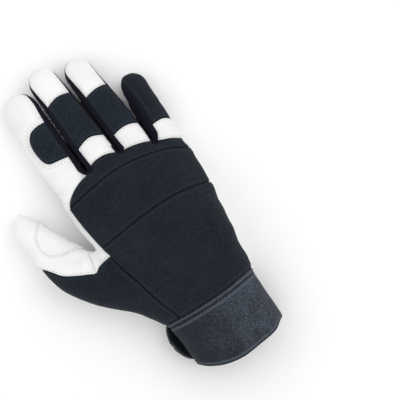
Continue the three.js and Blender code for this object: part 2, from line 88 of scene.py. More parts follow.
# Thumb: x, y, width, depth, height
THUMB_ROWS = [
    (-0.215, 0.085, 1.2, 1.15, 0.4), (-0.38, 0.29, 1.42, 1.3, 0.4),
    (-0.588, 0.457, 1.46, 1.25, 0.39), (-0.712, 0.587, 1.33, 1.15, 0.36),
    (-0.775, 0.705, 1.12, 1.05, 0.33), (-0.82, 0.81, 0.97, 0.95, 0.3),
    (-0.842, 0.895, 0.83, 0.86, 0.27), (-0.849, 0.96, 0.61, 0.66, 0.245),
    (-0.847, 1.0, 0.37, 0.42, 0.23), (-0.845, 1.014, 0.17, 0.22, 0.225)]

# Seams seen from above: (share of the hand's width, share of its length)
SEAMS = {
    "cuff": [(-0.6, 0.05), (-0.36, 0.036), (-0.15, 0.028), (0.1, 0.03), (0.37, 0.05), (0.7, 0.07)],
    "knuckle_edge": [
        (-0.51, 0.89), (-0.482, 0.925), (-0.42, 0.962), (-0.35, 0.988), (-0.255, 1.015),
        (-0.2, 1.042), (-0.09, 1.05), (0.0, 1.03), (0.045, 1.016), (0.13, 1.006), (0.25, 0.98),
        (0.315, 0.952), (0.39, 0.93), (0.465, 0.9), (0.62, 0.86)],
    "knuckle_line": [(-0.62, 0.875), (-0.48, 0.897), (-0.3, 0.921), (-0.1, 0.94), (0.05, 0.934),
                     (0.2, 0.912), (0.32, 0.888), (0.45, 0.838), (0.62, 0.79)],
    "mid_line": [(-0.62, 0.6), (-0.45, 0.603), (-0.3, 0.617), (0.0, 0.638), (0.2, 0.637),
                 (0.44, 0.603), (0.62, 0.57)],
    "thumb_line": [(-0.444, 0.54), (-0.42, 0.45), (-0.385, 0.36), (-0.352, 0.26),
                   (-0.318, 0.165), (-0.27, 0.06), (-0.25, -0.02)],
    "web_edge": [(-0.512, 0.9), (-0.506, 0.83), (-0.497, 0.76), (-0.478, 0.66), (-0.462, 0.59),
                 (-0.444, 0.54)],
    "thumb_edge": [(-0.444, 0.54), (-0.5, 0.535), (-0.55, 0.523), (-0.592, 0.503),
                   (-0.65, 0.522), (-0.73, 0.553), (-0.81, 0.592), (-0.86, 0.64),
                   (-0.893, 0.672), (-0.93, 0.7)],
    "thumb_root": [(-0.545, 0.7), (-0.556, 0.635), (-0.572, 0.57), (-0.595, 0.505),
                   (-0.65, 0.42), (-0.76, 0.33), (-0.95, 0.28)],
    "thumb_patch": [(-0.735, 0.95), (-0.785, 0.905), (-0.83, 0.86), (-0.845, 0.81),
                    (-0.84, 0.76), (-0.805, 0.715), (-0.745, 0.692), (-0.69, 0.685),
                    (-0.6, 0.675)]}
# Seams across the fingers' backs: (share of half the width, share of the reach)
FINGER_SEAMS = {
    "index_pad": [(1.6, 0.675), (0.72, 0.678), (0.25, 0.677), (-0.17, 0.66), (-0.48, 0.61),
                  (-0.575, 0.545), (-0.55, 0.475), (-0.43, 0.415), (-0.21, 0.383), (0.1, 0.372),
                  (0.7, 0.358), (1.6, 0.35)],
    "middle_tip": [(-1.6, 0.698), (-0.8, 0.715), (0, 0.732), (0.8, 0.715), (1.6, 0.698)],
    "middle_band": [(-1.6, 0.315), (-0.8, 0.345), (0, 0.362), (0.8, 0.33), (1.6, 0.305)],
    "ring_tip": [(-1.6, 0.66), (-0.8, 0.676), (0, 0.685), (0.8, 0.676), (1.6, 0.65)],
    "ring_band": [(-1.6, 0.3), (-0.8, 0.318), (0, 0.32), (0.8, 0.292), (1.6, 0.25)],
    "little_band": [(-1.6, 0.41), (-0.6, 0.427), (0, 0.43), (0.8, 0.4), (1.6, 0.37)]}
CUFF_END = [(-1.6, -0.5), (-0.36, -0.72), (-0.27, -0.86), (-0.17, -0.97), (-0.03, -1.03),
            (0.13, -1.0), (0.28, -0.95), (0.38, -0.83), (1.6, -0.6)]
ULNAR_SEAM = 0.36 * HAND_THICKNESS
RADIAL_SEAM = 0.18 * HAND_THICKNESS
THUMB_STRIP_TOP = 0.33 * HAND_THICKNESS
CUFF_SEAM = 0.26 * HAND_THICKNESS
PATCH_LOW = 0.3 * HAND_THICKNESS
FAR = 400.0
FINGER_GAP = 1.3
# The cloth web deep between two fingers: where each ends, its height before and after that,
# its underside, how far it runs into the fingers, and the length of its slope
WEB_ENDS, WEB_HEIGHTS, WEB_BASE = (147.0, 163.0, 112.0), (10.5, 1.0), 6.0
WEB_REACH, WEB_SLOPE = 5.0, 12.0
# Walls, and how far the patch lies out of the thumb's leather
WALL, PATCH_WALL, PATCH_SINK = 1.6, 1.1, -1.4
STRAP_CLEARANCE, STRAP_THICKNESS, STRAP_WIDTH, STRAP_TOP = 0.4, 2.2, 32.0, 5.0
STRAP_FLARE, STRAP_TIP, STRAP_ROUND, STRAP_BLUNT, STRAP_STEP = 4.4, 9.0, 20.0, 5.5, 1.2
STRAP_ARC = (180, 339)  # degrees round the wrist, from the thumb's side
FLOOR_GAP = 0.02  # nothing goes lower
SHARP_FROM = 50  # degrees from which an edge isn't shaded round

# Folds and creases seen from above: (1 for the back or -1 for the palm, depth, width, line)
FOLDS = [
    (1, 0.85, 1.1, [(-58.5, 77), (-64, 75), (-69, 73)]),
    (1, 0.9, 1.1, [(-55.5, 75), (-60, 72.5), (-64.5, 68.5)]),
    (1, 0.85, 1.1, [(-52.4, 72.5), (-54, 68), (-56.5, 63.5)]),
    (1, 0.35, 1.4, [(-63, 82), (-68, 82.5), (-73, 80)]),
    (1, 0.3, 1.6, [(-71, 104), (-76, 106), (-82, 104)]),
    (1, 0.3, 2.2, [(-44, 60), (-38, 50), (-30, 42), (-22, 38)]),
    (1, 0.28, 2.4, [(-42, 46), (-34, 36), (-27, 24), (-24, 12)]),
    (1, 0.3, 2.4, [(44, 58), (36, 55), (26, 56)]), (1, 0.3, 2.2, [(43, 40), (34, 40), (26, 44)]),
    (1, 0.25, 2.0, [(40, 22), (31, 25), (22, 31)]), (1, 0.3, 1.8, [(35, 11), (24, 10), (12, 12)]),
    (1, 0.3, 1.8, [(-30, 13), (-18, 9), (-6, 10)]),
    (1, 0.25, 1.6, [(-60, 40), (-50, 32), (-42, 22)]),
    (-1, 0.7, 1.7, [(-46, 84), (-30, 72), (-12, 62), (-2, 44), (-4, 26)]),
    (-1, 0.6, 1.6, [(-42, 92), (-20, 84), (8, 80), (34, 86)]),
    (-1, 0.5, 1.5, [(44, 74), (24, 70), (2, 74), (-16, 80)]),
    (-1, 0.6, 1.5, [(-48, 66), (-36, 58), (-26, 44)]),
    (-1, 0.5, 1.4, [(-34, 10), (-12, 14), (12, 11), (34, 14)]),
    (-1, 0.45, 1.4, [(-30, 20), (-6, 24), (20, 20), (38, 24)]),
    (-1, 0.4, 1.3, [(-20, 5), (-16, 20), (-18, 34)]),
    (-1, 0.4, 1.3, [(14, 4), (11, 18), (14, 32)])]
# Creases across the fingers: (finger, 1 for the back or -1 for the front, share of the length,
# depth, width)
FINGER_FOLDS = [(name, -1, share, depth, 1.5) for name in FINGERS
                for share, depth in ((0.2, 0.6), (0.46, 0.55), (0.72, 0.35))]
FINGER_FOLDS += [("middle", 1, 0.53, 0.14, 2.4), ("ring", 1, 0.5, 0.14, 2.4),
                 ("little", 1, 0.62, 0.14, 2.2), ("index", 1, 0.3, 0.12, 2.0)]


def eased(xs, ys, x):
    """A smooth line through points that doesn't overshoot them."""
    xs, ys = np.asarray(xs, float), np.asarray(ys, float)
    h = np.diff(xs)
    slope = np.diff(ys) / h
    both = slope[:-1] * slope[1:]
    inner = np.where(both > 0, 2 * both / np.where(both > 0, slope[:-1] + slope[1:], 1), 0)
    m = np.concatenate([slope[:1], inner, slope[-1:]])
    x = np.clip(x, xs[0], xs[-1])
    i = np.clip(np.searchsorted(xs, x) - 1, 0, len(h) - 1)
    t = (x - xs[i]) / h[i]
    return ((1 + 2 * t) * (1 - t) ** 2 * ys[i] + t * (1 - t) ** 2 * h[i] * m[i]
            + t * t * (3 - 2 * t) * ys[i + 1] + t * t * (t - 1) * h[i] * m[i + 1])


def through(points, steps=8):
    """A centripetal Catmull-Rom line through a few points."""
    p = np.array(points, float)
    p = np.vstack([2 * p[0] - p[1], p, 2 * p[-1] - p[-2]])
    gap = np.linalg.norm(np.diff(p, axis=0), axis=1) ** 0.5
    line = []
    for i in range(1, len(p) - 2):
        g0, g1, g2 = gap[i - 1], gap[i], gap[i + 1]
        m1 = (p[i + 1] - p[i]) + g1 * ((p[i] - p[i - 1]) / g0 - (p[i + 1] - p[i - 1]) / (g0 + g1))
        m2 = (p[i + 1] - p[i]) + g1 * ((p[i + 2] - p[i + 1]) / g2
                                       - (p[i + 2] - p[i]) / (g1 + g2))
        for t in np.arange(steps) / steps:
            line.append((2 * t ** 3 - 3 * t * t + 1) * p[i] + (t ** 3 - 2 * t * t + t) * m1
                        + (3 * t * t - 2 * t ** 3) * p[i + 1] + (t ** 3 - t * t) * m2)
    return np.array(line + [p[-2]])


def blend_min(a, b, k):
    h = np.maximum(k - np.abs(a - b), 0) / k
    return np.minimum(a, b) - h * h * k / 4


def blend_max(a, b, k):
    return -blend_min(-a, -b, k)


def beyond(u, w, a, b, extra=0.0, push=0.0):
    """Distance outside a rounded section of half sizes a and b; extra runs on past a tip."""
    r = (np.abs(u / a) ** POWER + np.abs(w / b) ** POWER) ** (2 / POWER)
    r = np.sqrt(r + push) + 1e-6
    return np.sqrt(u * u + w * w + extra * extra) * (1 - 1 / r)


BODY = np.array([(r[0] * CUFF_LENGTH, *r[1:]) for r in CUFF_ROWS]
                + [(r[0] * HAND_LENGTH, *r[1:]) for r in HAND_ROWS])


def knuckle_row(x, y):
    """The section's own place along the hand: the rows fall back to each side at the knuckles."""
    drop = BOW_DROP * (x - BOW_CENTRE * HAND_WIDTH) ** 2 / HAND_WIDTH
    row = y
    for _ in range(3):
        row = y + eased(BODY[:, 0], BODY[:, 5], row) * drop
    return row


def body_row(y):
    """The hand's left, right, top and base at a place along it, as shares."""
    return [eased(BODY[:, 0], BODY[:, k], y) for k in (1, 2, 3, 4)]


def hand_form(x, y, z):
    row = knuckle_row(x, y)
    left, right, top, base = body_row(row)
    left, right = left * HAND_WIDTH, right * HAND_WIDTH
    top, base = top * HAND_THICKNESS, base * HAND_THICKNESS
    height = WIDEST_HEIGHT * top
    w = z - height
    b = np.where(w > 0, top - height, height - base)
    d = beyond(x - (left + right) / 2, w, (right - left) / 2, b)
    return blend_max(d, row - BODY[-1, 0], KNUCKLE_BLEND)


class Finger:
    def __init__(self, name):
        (root_x, root_y, tip_x, reach, width, taper, depth, height, roll, fork) = FINGERS[name]
        self.thick = depth * FINGER_THICKNESS / 2
        self.half = width * HAND_WIDTH / 2
        self.taper = taper
        self.fork = fork * HAND_LENGTH
        self.root = np.array([root_x * HAND_WIDTH, root_y * HAND_LENGTH, height * HAND_THICKNESS])
        tip = np.array([tip_x * HAND_WIDTH, root_y * HAND_LENGTH + reach * FINGER_LENGTH,
                        TIP_HEIGHT * 2 * self.thick])
        axis = tip - self.root
        self.length = np.linalg.norm(axis)
        self.along = axis / self.length
        level = np.array([self.along[1], -self.along[0], 0])
        level /= np.linalg.norm(level)
        lean = math.radians(-roll)
        self.right = level * math.cos(lean) + np.cross(self.along, level) * math.sin(lean)
        self.up = np.cross(self.right, self.along)
        self.tip = TIP_LENGTH * self.half * taper
        self.straight = self.length - self.tip

    def local(self, x, y, z):
        """Across, along and out of the back of the finger."""
        d = (x - self.root[0], y - self.root[1], z - self.root[2])
        return tuple(d[0] * a[0] + d[1] * a[1] + d[2] * a[2]
                     for a in (self.right, self.along, self.up))

    def form(self, x, y, z):
        u, v, w = self.local(x, y, z)
        share = np.clip(v / self.straight, 0, 1)
        rows = np.array(FINGER_ROWS)
        slim = 1 + (self.taper - 1) * share ** 2
        a = self.half * slim * eased(rows[:, 0], rows[:, 1], share)
        b = self.thick * eased(rows[:, 0], rows[:, 2], share)
        past = np.maximum(v - self.straight, 0)
        d = beyond(u, w, a, b, past, (past / self.tip) ** TIP_ROUND)
        return blend_max(d, -v, BLEND)


def thumb_path(steps=120):
    rows = np.array(THUMB_ROWS) * (HAND_WIDTH, HAND_LENGTH, THUMB_WIDTH / 2, THUMB_THICKNESS / 2,
                                   HAND_THICKNESS)
    s = np.concatenate([[0], np.cumsum(np.linalg.norm(np.diff(rows[:, :2], axis=0), axis=1))])
    t = np.linspace(0, s[-1], steps)
    return t, np.stack([eased(s, rows[:, k], t) for k in range(5)], axis=1)


THUMB_S, THUMB = thumb_path()
THUMB_TANGENT = np.gradient(THUMB[:, :2], axis=0)
THUMB_TANGENT /= np.linalg.norm(THUMB_TANGENT, axis=1)[:, None]


def thumb_place(x, y):
    """How far along the thumb's path a place is, and how far across it."""
    x, y = np.broadcast_arrays(x, y)
    best, index = np.full(x.shape, np.inf), np.zeros(x.shape, int)
    for i, (cx, cy) in enumerate(THUMB[:, :2]):
        d = (x - cx) ** 2 + (y - cy) ** 2
        index = np.where(d < best, i, index)
        best = np.minimum(d, best)
    tx, ty = THUMB_TANGENT[index, 0], THUMB_TANGENT[index, 1]
    dx, dy = x - THUMB[index, 0], y - THUMB[index, 1]
    return THUMB_S[index] + dx * tx + dy * ty, dx * ty - dy * tx


def thumb_form(x, y, z):
    station, across = thumb_place(x, y)
    a, b, height = (np.interp(station, THUMB_S, THUMB[:, k]) for k in (2, 3, 4))
    d = beyond(across, z - height, a, b)
    past = np.maximum(station - THUMB_S[-1], 0)
    d = np.sqrt(np.maximum(d, 0) ** 2 + past ** 2) + np.minimum(d, 0)
    return blend_max(d, -station, BLEND)


HANDS = {name: Finger(name) for name in FINGERS}


def facing_out(points, tris):
    """A closed surface's triangles, turned to face outwards."""
    a, b, c = (points[tris[:, k]] for k in range(3))
    return tris[:, ::-1] if np.einsum("ij,ij->", a, np.cross(b, c)) < 0 else tris


def skin():
    """The filled glove's outer skin as one closed surface: vertices and triangles."""
    low, high = np.array(BOX_LOW), np.array(BOX_HIGH)
    x, y, z = (np.arange(a, b, FINEST) for a, b in zip(low, high))
    X, Y, Z = x[:, None, None], y[None, :, None], z[None, None, :]
    form = np.broadcast_to(hand_form(X, Y, Z), (len(x), len(y), len(z))).copy()
    far_up = y > FINGERS_FROM
    forms = [f.form(X, Y[:, far_up], Z) for f in HANDS.values()]
    fingers = np.minimum.reduce(forms)
    for one, two in zip(forms, forms[1:]):
        fingers = np.maximum(fingers, FINGER_GAP / 2 - np.abs(one - two) / 2)
    for one, two, end in zip(forms, forms[1:], WEB_ENDS):
        top = np.interp(y[far_up], (end, end + WEB_SLOPE), WEB_HEIGHTS)[None, :, None]
        web = np.maximum(np.maximum(one, two) - WEB_REACH, np.maximum(Z - top, WEB_BASE - Z))
        fingers = np.minimum(fingers, web)
    form[:, far_up] = blend_min(form[:, far_up], fingers, BLEND)
    rows, columns = x < 0, y < THUMB_UPTO
    thumb = thumb_form(X[rows], Y[:, columns], Z)
    near = np.ix_(rows, columns)
    form[near] = blend_min(form[near], thumb, BLEND)
    form = blend_max(form, -Z, FLOOR_BLEND)
    grid = openvdb.FloatGrid(DEPTH_KEPT)
    grid.copyFromArray(np.clip(form, -DEPTH_KEPT, DEPTH_KEPT).astype(np.float32))
    points, quads = grid.convertToQuads(0.0)
    points = points.astype(float) * FINEST + low
    quads = quads.astype(np.int64)
    one, two = (np.linalg.norm(points[quads[:, k]] - points[quads[:, k + 2]], axis=1)
                for k in (0, 1))
    short = one <= two
    tris = np.concatenate([quads[short][:, [0, 1, 2]], quads[short][:, [0, 2, 3]],
                           quads[~short][:, [0, 1, 3]], quads[~short][:, [1, 2, 3]]])
    return points, facing_out(points, tris)


def edges_of(tris):
    """All the triangles' directed edges: the first ones, then the second, then the third."""
    return np.concatenate([tris[:, [0, 1]], tris[:, [1, 2]], tris[:, [2, 0]]])


def smoothed(points, tris, rounds, pull=0.5, push=-0.52):
    """A surface with its steps taken out, and without shrinking."""
    n = len(points)
    e = edges_of(tris)
    i, j = np.concatenate([e[:, 0], e[:, 1]]), np.concatenate([e[:, 1], e[:, 0]])
    count = np.bincount(i, minlength=n)[:, None]
    for k in range(2 * rounds):
        mean = np.stack([np.bincount(i, points[j, c], n) for c in range(3)], axis=1) / count
        points = points + (pull if k % 2 == 0 else push) * (mean - points)
    return points


def normals(points, tris):
    """The outward directions at a surface's points."""
    a, b, c = (points[tris[:, k]] for k in range(3))
    face = np.cross(b - a, c - a)
    out = np.stack([sum(np.bincount(tris[:, k], face[:, c], len(points)) for k in range(3))
                    for c in range(3)], axis=1)
    return out / np.maximum(np.linalg.norm(out, axis=1), 1e-12)[:, None]


PULLED_WITHIN = 0.3  # a corner this near a cut, as a share of its edge, is moved onto it


# A surface is its points, the outward normals of the smooth skin under it, and its triangles.
def compact(points, normal, tris):
    used = np.unique(tris)
    renamed = np.zeros(len(points), np.int64)
    renamed[used] = np.arange(len(used))
    return points[used], normal[used], renamed[tris]


def cut(surface, value):
    """Parts a surface along the line where value is 0: the side above it and the side below."""
    points, normal, tris = surface
    points, normal, value = points.copy(), normal.copy(), value.copy()
    e = np.sort(edges_of(tris), axis=1)
    edges, which = np.unique(e[:, 0] * len(points) + e[:, 1], return_inverse=True)
    a, b = edges // len(points), edges % len(points)

    def crossings():
        k = np.flatnonzero(value[a] * value[b] < 0)
        return k, value[a[k]] / (value[a[k]] - value[b[k]])

    held = np.zeros(len(points), bool)
    held[edge_list(tris)] = True
    k, t = crossings()
    near = np.minimum(t, 1 - t)
    order = np.argsort(-near, kind="stable")
    k, t, near = k[order], t[order], near[order]
    owner = np.where(t < 0.5, a[k], b[k])
    pulled = (near < PULLED_WITHIN) & ~held[owner]
    k, t, owner = k[pulled], t[pulled], owner[pulled]
    places = points[a[k]] + t[:, None] * (points[b[k]] - points[a[k]])
    points[owner], value[owner] = places, 0
    k, t = crossings()
    added = points[a[k]] + t[:, None] * (points[b[k]] - points[a[k]])
    leaning = normal[a[k]] + t[:, None] * (normal[b[k]] - normal[a[k]])
    leaning /= np.linalg.norm(leaning, axis=1)[:, None]
    middle = np.full(len(edges), -1)
    middle[k] = len(points) + np.arange(len(k))
    points, normal = np.vstack([points, added]), np.vstack([normal, leaning])
    value = np.concatenate([value, np.zeros(len(k))])
    mid = middle[which.reshape(3, -1).T]
    count = (mid >= 0).sum(axis=1)
    made = [tris[count == 0]]
    for first in range(3):
        one, two, three = first, (first + 1) % 3, (first + 2) % 3
        s = (count == 1) & (mid[:, one] >= 0)
        v0, v1, v2, m = tris[s, one], tris[s, two], tris[s, three], mid[s, one]
        made += [np.stack([v0, m, v2], 1), np.stack([m, v1, v2], 1)]
        s = (count == 2) & (mid[:, two] < 0)
        v0, v1, v2 = tris[s, one], tris[s, two], tris[s, three]
        m, n = mid[s, one], mid[s, three]
        made += [np.stack([v0, m, n], 1), np.stack([m, v1, v2], 1), np.stack([m, v2, n], 1)]
    tris = np.concatenate(made)
    side = value[tris][np.arange(len(tris)), np.abs(value[tris]).argmax(axis=1)]
    return compact(points, normal, tris[side >= 0]), compact(points, normal, tris[side < 0])


def joined(surfaces):
    """Surfaces that share an edge, sewn back into one."""
    points = np.vstack([s[0] for s in surfaces])
    normal = np.vstack([s[1] for s in surfaces])
    starts = np.cumsum([0] + [len(s[0]) for s in surfaces[:-1]])
    tris = np.vstack([s[2] + n for s, n in zip(surfaces, starts)])
    _, first, same = np.unique(np.round(points, 6), axis=0, return_index=True,
                               return_inverse=True)
    tris = same.reshape(-1)[tris]
    tris = tris[(tris != np.roll(tris, 1, axis=1)).all(axis=1)]
    _, once = np.unique(np.sort(tris, axis=1), axis=0, return_index=True)
    return points[first], normal[first], tris[np.sort(once)]


def main_part(surface):
    """The largest connected part of a surface, and what is left of it."""
    points, normal, tris = surface
    label = np.arange(len(points))
    e = np.concatenate([tris[:, [0, 1]], tris[:, [1, 2]]])
    while True:
        low = np.minimum(label[e[:, 0]], label[e[:, 1]])
        new = label.copy()
        np.minimum.at(new, e[:, 0], low)
        np.minimum.at(new, e[:, 1], low)
        new = new[new]
        if np.array_equal(new, label):
            break
        label = new
    names, sizes = np.unique(label[tris[:, 0]], return_counts=True)
    main = label[tris[:, 0]] == names[sizes.argmax()]
    return compact(points, normal, tris[main]), compact(points, normal, tris[~main])


def inside(outline, x, y):
    """Distance inside a flat outline, negative outside it."""
    a = np.asarray(outline, float)
    b = np.roll(a, -1, axis=0)
    best, odd = np.full(x.shape, np.inf), np.zeros(x.shape, bool)
    for (ax, ay), (bx, by) in zip(a, b):
        ex, ey = bx - ax, by - ay
        t = np.clip(((x - ax) * ex + (y - ay) * ey) / (ex * ex + ey * ey + 1e-12), 0, 1)
        best = np.minimum(best, (x - ax - t * ex) ** 2 + (y - ay - t * ey) ** 2)
        if ay != by:
            odd ^= ((ay > y) != (by > y)) & (x < ax + (y - ay) * ex / ey)
    return np.where(odd, 1, -1) * np.sqrt(best)


def seam(name, shift=0.0):
    return through([(x * HAND_WIDTH, y * HAND_LENGTH + shift) for x, y in SEAMS[name]])


def under(line):
    """The field below a line that runs from left to right."""
    return [*line, (FAR, -FAR), (-FAR, -FAR)]


# The side walls of the fingers: (share of the length, lower edge, upper edge), edges as shares
# of half the finger's thickness, and how far they reach out of the finger
WALL_EDGES = [(-0.2, -0.85, 0.6), (0.4, -0.82, 0.6), (0.58, -0.5, 0.6), (0.68, -0.42, 0.58),
              (0.88, -0.28, 0.36), (0.97, -0.12, 0.12), (1.1, -0.1, 0.1)]
WALL_REACH = 2.2
# The fork between two fingers: its drop as a share of the hand's thickness, its height over
# and under that as shares of half a finger, where it starts, its bow, its end and half its width
FORK_DROP, FORK_TALL, FORK_DEEP = 0.05, 0.6, 0.95
FORK_START, FORK_BOW, FORK_END, FORK_HALF = 2.2, 0.16, 5, 6.5


def finger_wall(name, side):
    finger = HANDS[name]
    table = np.array(WALL_EDGES)

    def region(p):
        u, v, w = finger.local(*p.T)
        share = v / finger.length
        low = eased(table[:, 0], table[:, 1], share) * finger.thick
        high = eased(table[:, 0], table[:, 2], share) * finger.thick
        return np.minimum.reduce([w - low, high - w, side * u,
                                  finger.half + WALL_REACH - side * u])
    return region


def fork(one, two):
    """The side walls of two neighbouring fingers with the fork between them."""
    a, b = HANDS[one], HANDS[two]
    x = (a.root[0] + b.root[0]) / 2
    z = (a.root[2] + b.root[2]) / 2 - FORK_DROP * HAND_THICKNESS
    walls = finger_wall(one, 1), finger_wall(two, -1)
    tall, deep = FORK_TALL * a.thick, FORK_DEEP * a.thick

    def region(p):
        sides = np.maximum(walls[0](p), walls[1](p))
        start = p[:, 1] - (a.fork - FORK_START + FORK_BOW * (p[:, 0] - x) ** 2)
        between = np.minimum.reduce([z + tall - p[:, 2], p[:, 2] - z + deep,
                                     a.fork + FORK_END - p[:, 1], FORK_HALF - np.abs(p[:, 0] - x)])
        return np.minimum(np.maximum(sides, between), start)
    return region


# How far a finger's back reaches to its side, as a share of half its width
BACK_REACH, LITTLE_REACH = 1.06, 1.3


def finger_back(name, outline, reach=BACK_REACH):
    """The part of a finger's back inside an outline in its own frame."""
    finger = HANDS[name]

    def region(p):
        u, v, w = finger.local(*p.T)
        part = np.minimum(w, inside(outline, u, v)) if outline is not None else w
        return np.minimum.reduce([part, u + BACK_REACH * finger.half, reach * finger.half - u, v])
    return region


def finger_line(name, seam_name):
    finger = HANDS[name]
    return through([(x * finger.half, y * finger.length) for x, y in FINGER_SEAMS[seam_name]])


def past_seam(name, seam_name, reach=BACK_REACH):
    line = finger_line(name, seam_name)
    return finger_back(name, [(-FAR, line[0][1]), *line, (FAR, line[-1][1]), (FAR, FAR),
                              (-FAR, FAR)], reach)


def hand_back(line_name):
    left = [*seam("web_edge"), *seam("thumb_line")[1:]]
    field = [(left[0][0], FAR), *left, (left[-1][0], -FAR), (FAR, -FAR), (FAR, FAR)]
    row = under(seam(line_name))

    def region(p):
        x, y, z = p.T
        return np.minimum.reduce([z - ULNAR_SEAM, inside(field, x, y), inside(row, x, y)])
    return region


# The dark strip on the thumb's outer side, by how far along the thumb: where it starts, where it
# starts to taper, how its two edges then run, and how far before the end it stops
STRIP_START, STRIP_TAPER, STRIP_FALL, STRIP_RISE, STRIP_STOP = 20, 62, 0.25, 0.02, 12


def thumb_side(p):
    x, y, z = p.T
    edge = seam("thumb_edge")
    panel = [*seam("thumb_line")[::-1], *edge[1:], (-FAR, edge[-1][1]), (-FAR, -FAR),
             (SEAMS["thumb_line"][-1][0] * HAND_WIDTH, -FAR)]
    station, across = thumb_place(x, y)
    taper = np.maximum(station - STRIP_TAPER, 0)
    strip = np.minimum.reduce([THUMB_STRIP_TOP - z - taper * STRIP_FALL,
                               z - RADIAL_SEAM + taper * STRIP_RISE, -across,
                               station - STRIP_START, THUMB_S[-1] - STRIP_STOP - station])
    return np.maximum(np.minimum(z - RADIAL_SEAM, inside(panel, x, y)), strip)


def thumb_leather(p):
    root = seam("thumb_root")
    field = [*root, (-FAR, root[-1][1]), (-FAR, FAR), (root[0][0], FAR)]
    return inside(field, p[:, 0], p[:, 1])


def below_cuff(shift=0.0, height=-FAR):
    row = under(seam("cuff", shift))
    return lambda p: np.minimum(inside(row, p[:, 0], p[:, 1]), p[:, 2] - height)


def cuff_end(p):
    line = through([(x * HAND_WIDTH, y * CUFF_LENGTH) for x, y in CUFF_END])
    return -inside(under(line), p[:, 0], p[:, 1])


def thumb_patch(p):
    outline = seam("thumb_patch")
    x, y, z = p.T
    inner = [(THUMB[k, 0] + 2 * THUMB[k, 2], THUMB[k, 1]) for k in range(62, 112, 6)]
    return np.minimum(inside([*outline, *inner], x, y), z - PATCH_LOW)


def panels(surface):
    """The skin parted into the glove's sewn panels, as the seams run."""
    made, rest = {}, surface
    for node, panel in PANELS.items():
        if node not in NOT_CUT:
            piece, rest = cut(rest, panel.region(rest[0]))
            made[node], crumbs = main_part(piece)
            if len(crumbs[2]):
                rest = joined([rest, crumbs])
    made["palm_leather"], _ = main_part(rest)
    return made


def edge_list(tris):
    """The directed edges that only one triangle uses."""
    e = edges_of(tris)
    key = np.sort(e, axis=1)
    _, first, count = np.unique(key[:, 0] * (tris.max() + 1) + key[:, 1], return_index=True,
                                return_counts=True)
    return e[first[count == 1]]


def edge_distance(points, tris):
    """How far each point is from the panel's edge."""
    e = edge_list(tris)
    places = np.vstack([points[e[:, 0]] + t * (points[e[:, 1]] - points[e[:, 0]])
                        for t in (0, 0.25, 0.5, 0.75)])
    tree = KDTree(len(places))
    for i, p in enumerate(places):
        tree.insert(p, i)
    tree.balance()
    return np.array([tree.find(p)[2] for p in points])


def waves(points, length, seed, count=20):
    """Soft ups and downs, about one length across."""
    rng = np.random.default_rng(seed)
    way = rng.normal(size=(count, 3))
    way *= (2 * math.pi / length * rng.uniform(0.7, 1.4, count)
            / np.linalg.norm(way, axis=1))[:, None]
    return np.sin(points @ way.T + rng.uniform(0, 2 * math.pi, count)).sum(axis=1) / count ** 0.5


def beside(line, x, y):
    """Distance from a line, and the share of the line passed there."""
    best, share = np.full(x.shape, np.inf), np.zeros(x.shape)
    for k, ((ax, ay), (bx, by)) in enumerate(zip(line, line[1:])):
        ex, ey = bx - ax, by - ay
        t = np.clip(((x - ax) * ex + (y - ay) * ey) / (ex * ex + ey * ey), 0, 1)
        d = np.hypot(x - ax - t * ex, y - ay - t * ey)
        share = np.where(d < best, (k + t) / (len(line) - 1), share)
        best = np.minimum(d, best)
    return best, share


def crease(d, depth, width):
    """A fold's cross-section: a groove between two low ridges."""
    return depth * (0.5 * np.exp(-((d - 2.1 * width) / (1.2 * width)) ** 2)
                    - np.exp(-(d / width) ** 2))


# How far slow and quick waves lift each cloth
WAVE_LIFTS = {"leather": (0.16, 0.06), "stretch": (0.2, 0.035), "padded": (0.2, 0.035),
              "elastic": (0.1, 0.02), "side": (0.15, 0.05), "underlap": (0.15, 0.03)}
# Length and seed of the waves
SLOW, QUICK, PUCKER, BAGGY = (19, 3), (5.5, 5), (4.2, 8), (19, 12)
PUCKER_LIFT, PUCKER_AT, PUCKER_WIDTH = 0.09, 1.6, 2.2
BAGGY_LIFT = 0.55


def relief(points, normal, gap, cloth):
    """How far folds, creases and puckered seams lift the cloth, in millimetres."""
    x, y, z = points.T
    slow, quick = WAVE_LIFTS[cloth]
    rise = slow * waves(points, *SLOW) + quick * waves(points, *QUICK)
    rise += PUCKER_LIFT * waves(points, *PUCKER) * np.exp(-((gap - PUCKER_AT)
                                                            / PUCKER_WIDTH) ** 2)
    for side, depth, width, line in FOLDS:
        path = through(line, 4)
        near = ((x > path[:, 0].min() - 4 * width) & (x < path[:, 0].max() + 4 * width)
                & (y > path[:, 1].min() - 4 * width) & (y < path[:, 1].max() + 4 * width)
                & (normal[:, 2] * side > 0))
        d, share = beside(path, x[near], y[near])
        side_shade = np.minimum(1, 3.2 * np.minimum(share, 1 - share)) ** 0.8
        faced = np.clip(normal[near, 2] * side * 2.5, 0, 1)
        rise[near] += crease(d, depth, width) * side_shade * faced
    for name, side, share, depth, width in FINGER_FOLDS:
        finger = HANDS[name]
        u, v, w = finger.local(x, y, z)
        bow = share * finger.length - side * 0.03 * u * u
        across = (np.abs(u) < finger.half + 2) & (w * side > 0)
        rise += across * crease(np.abs(v - bow), depth, width) * np.clip(side * w / 5, 0, 1)
    # the side at the little finger is slack, with folds across it
    slack = (np.clip((x - 30) / 12, 0, 1) * np.clip((y - 5) / 12, 0, 1)
             * np.clip((95 - y) / 15, 0, 1))
    return rise + slack * BAGGY_LIFT * waves(points * (0.3, 1, 0.5), *BAGGY)


# Where loops of points run beside a seam and where its roll ends, as shares of the roll; how
# wide the swell's start is, and how deep and wide a row of stitches pulls the cloth in
RIM_LOOPS, RIM_END = (0.3, 0.8, 1.5), 1.3
SWELL_START, FOLD_START, ROW_PULL, ROW_WIDTH = 4, 1.5, 0.16, 0.7


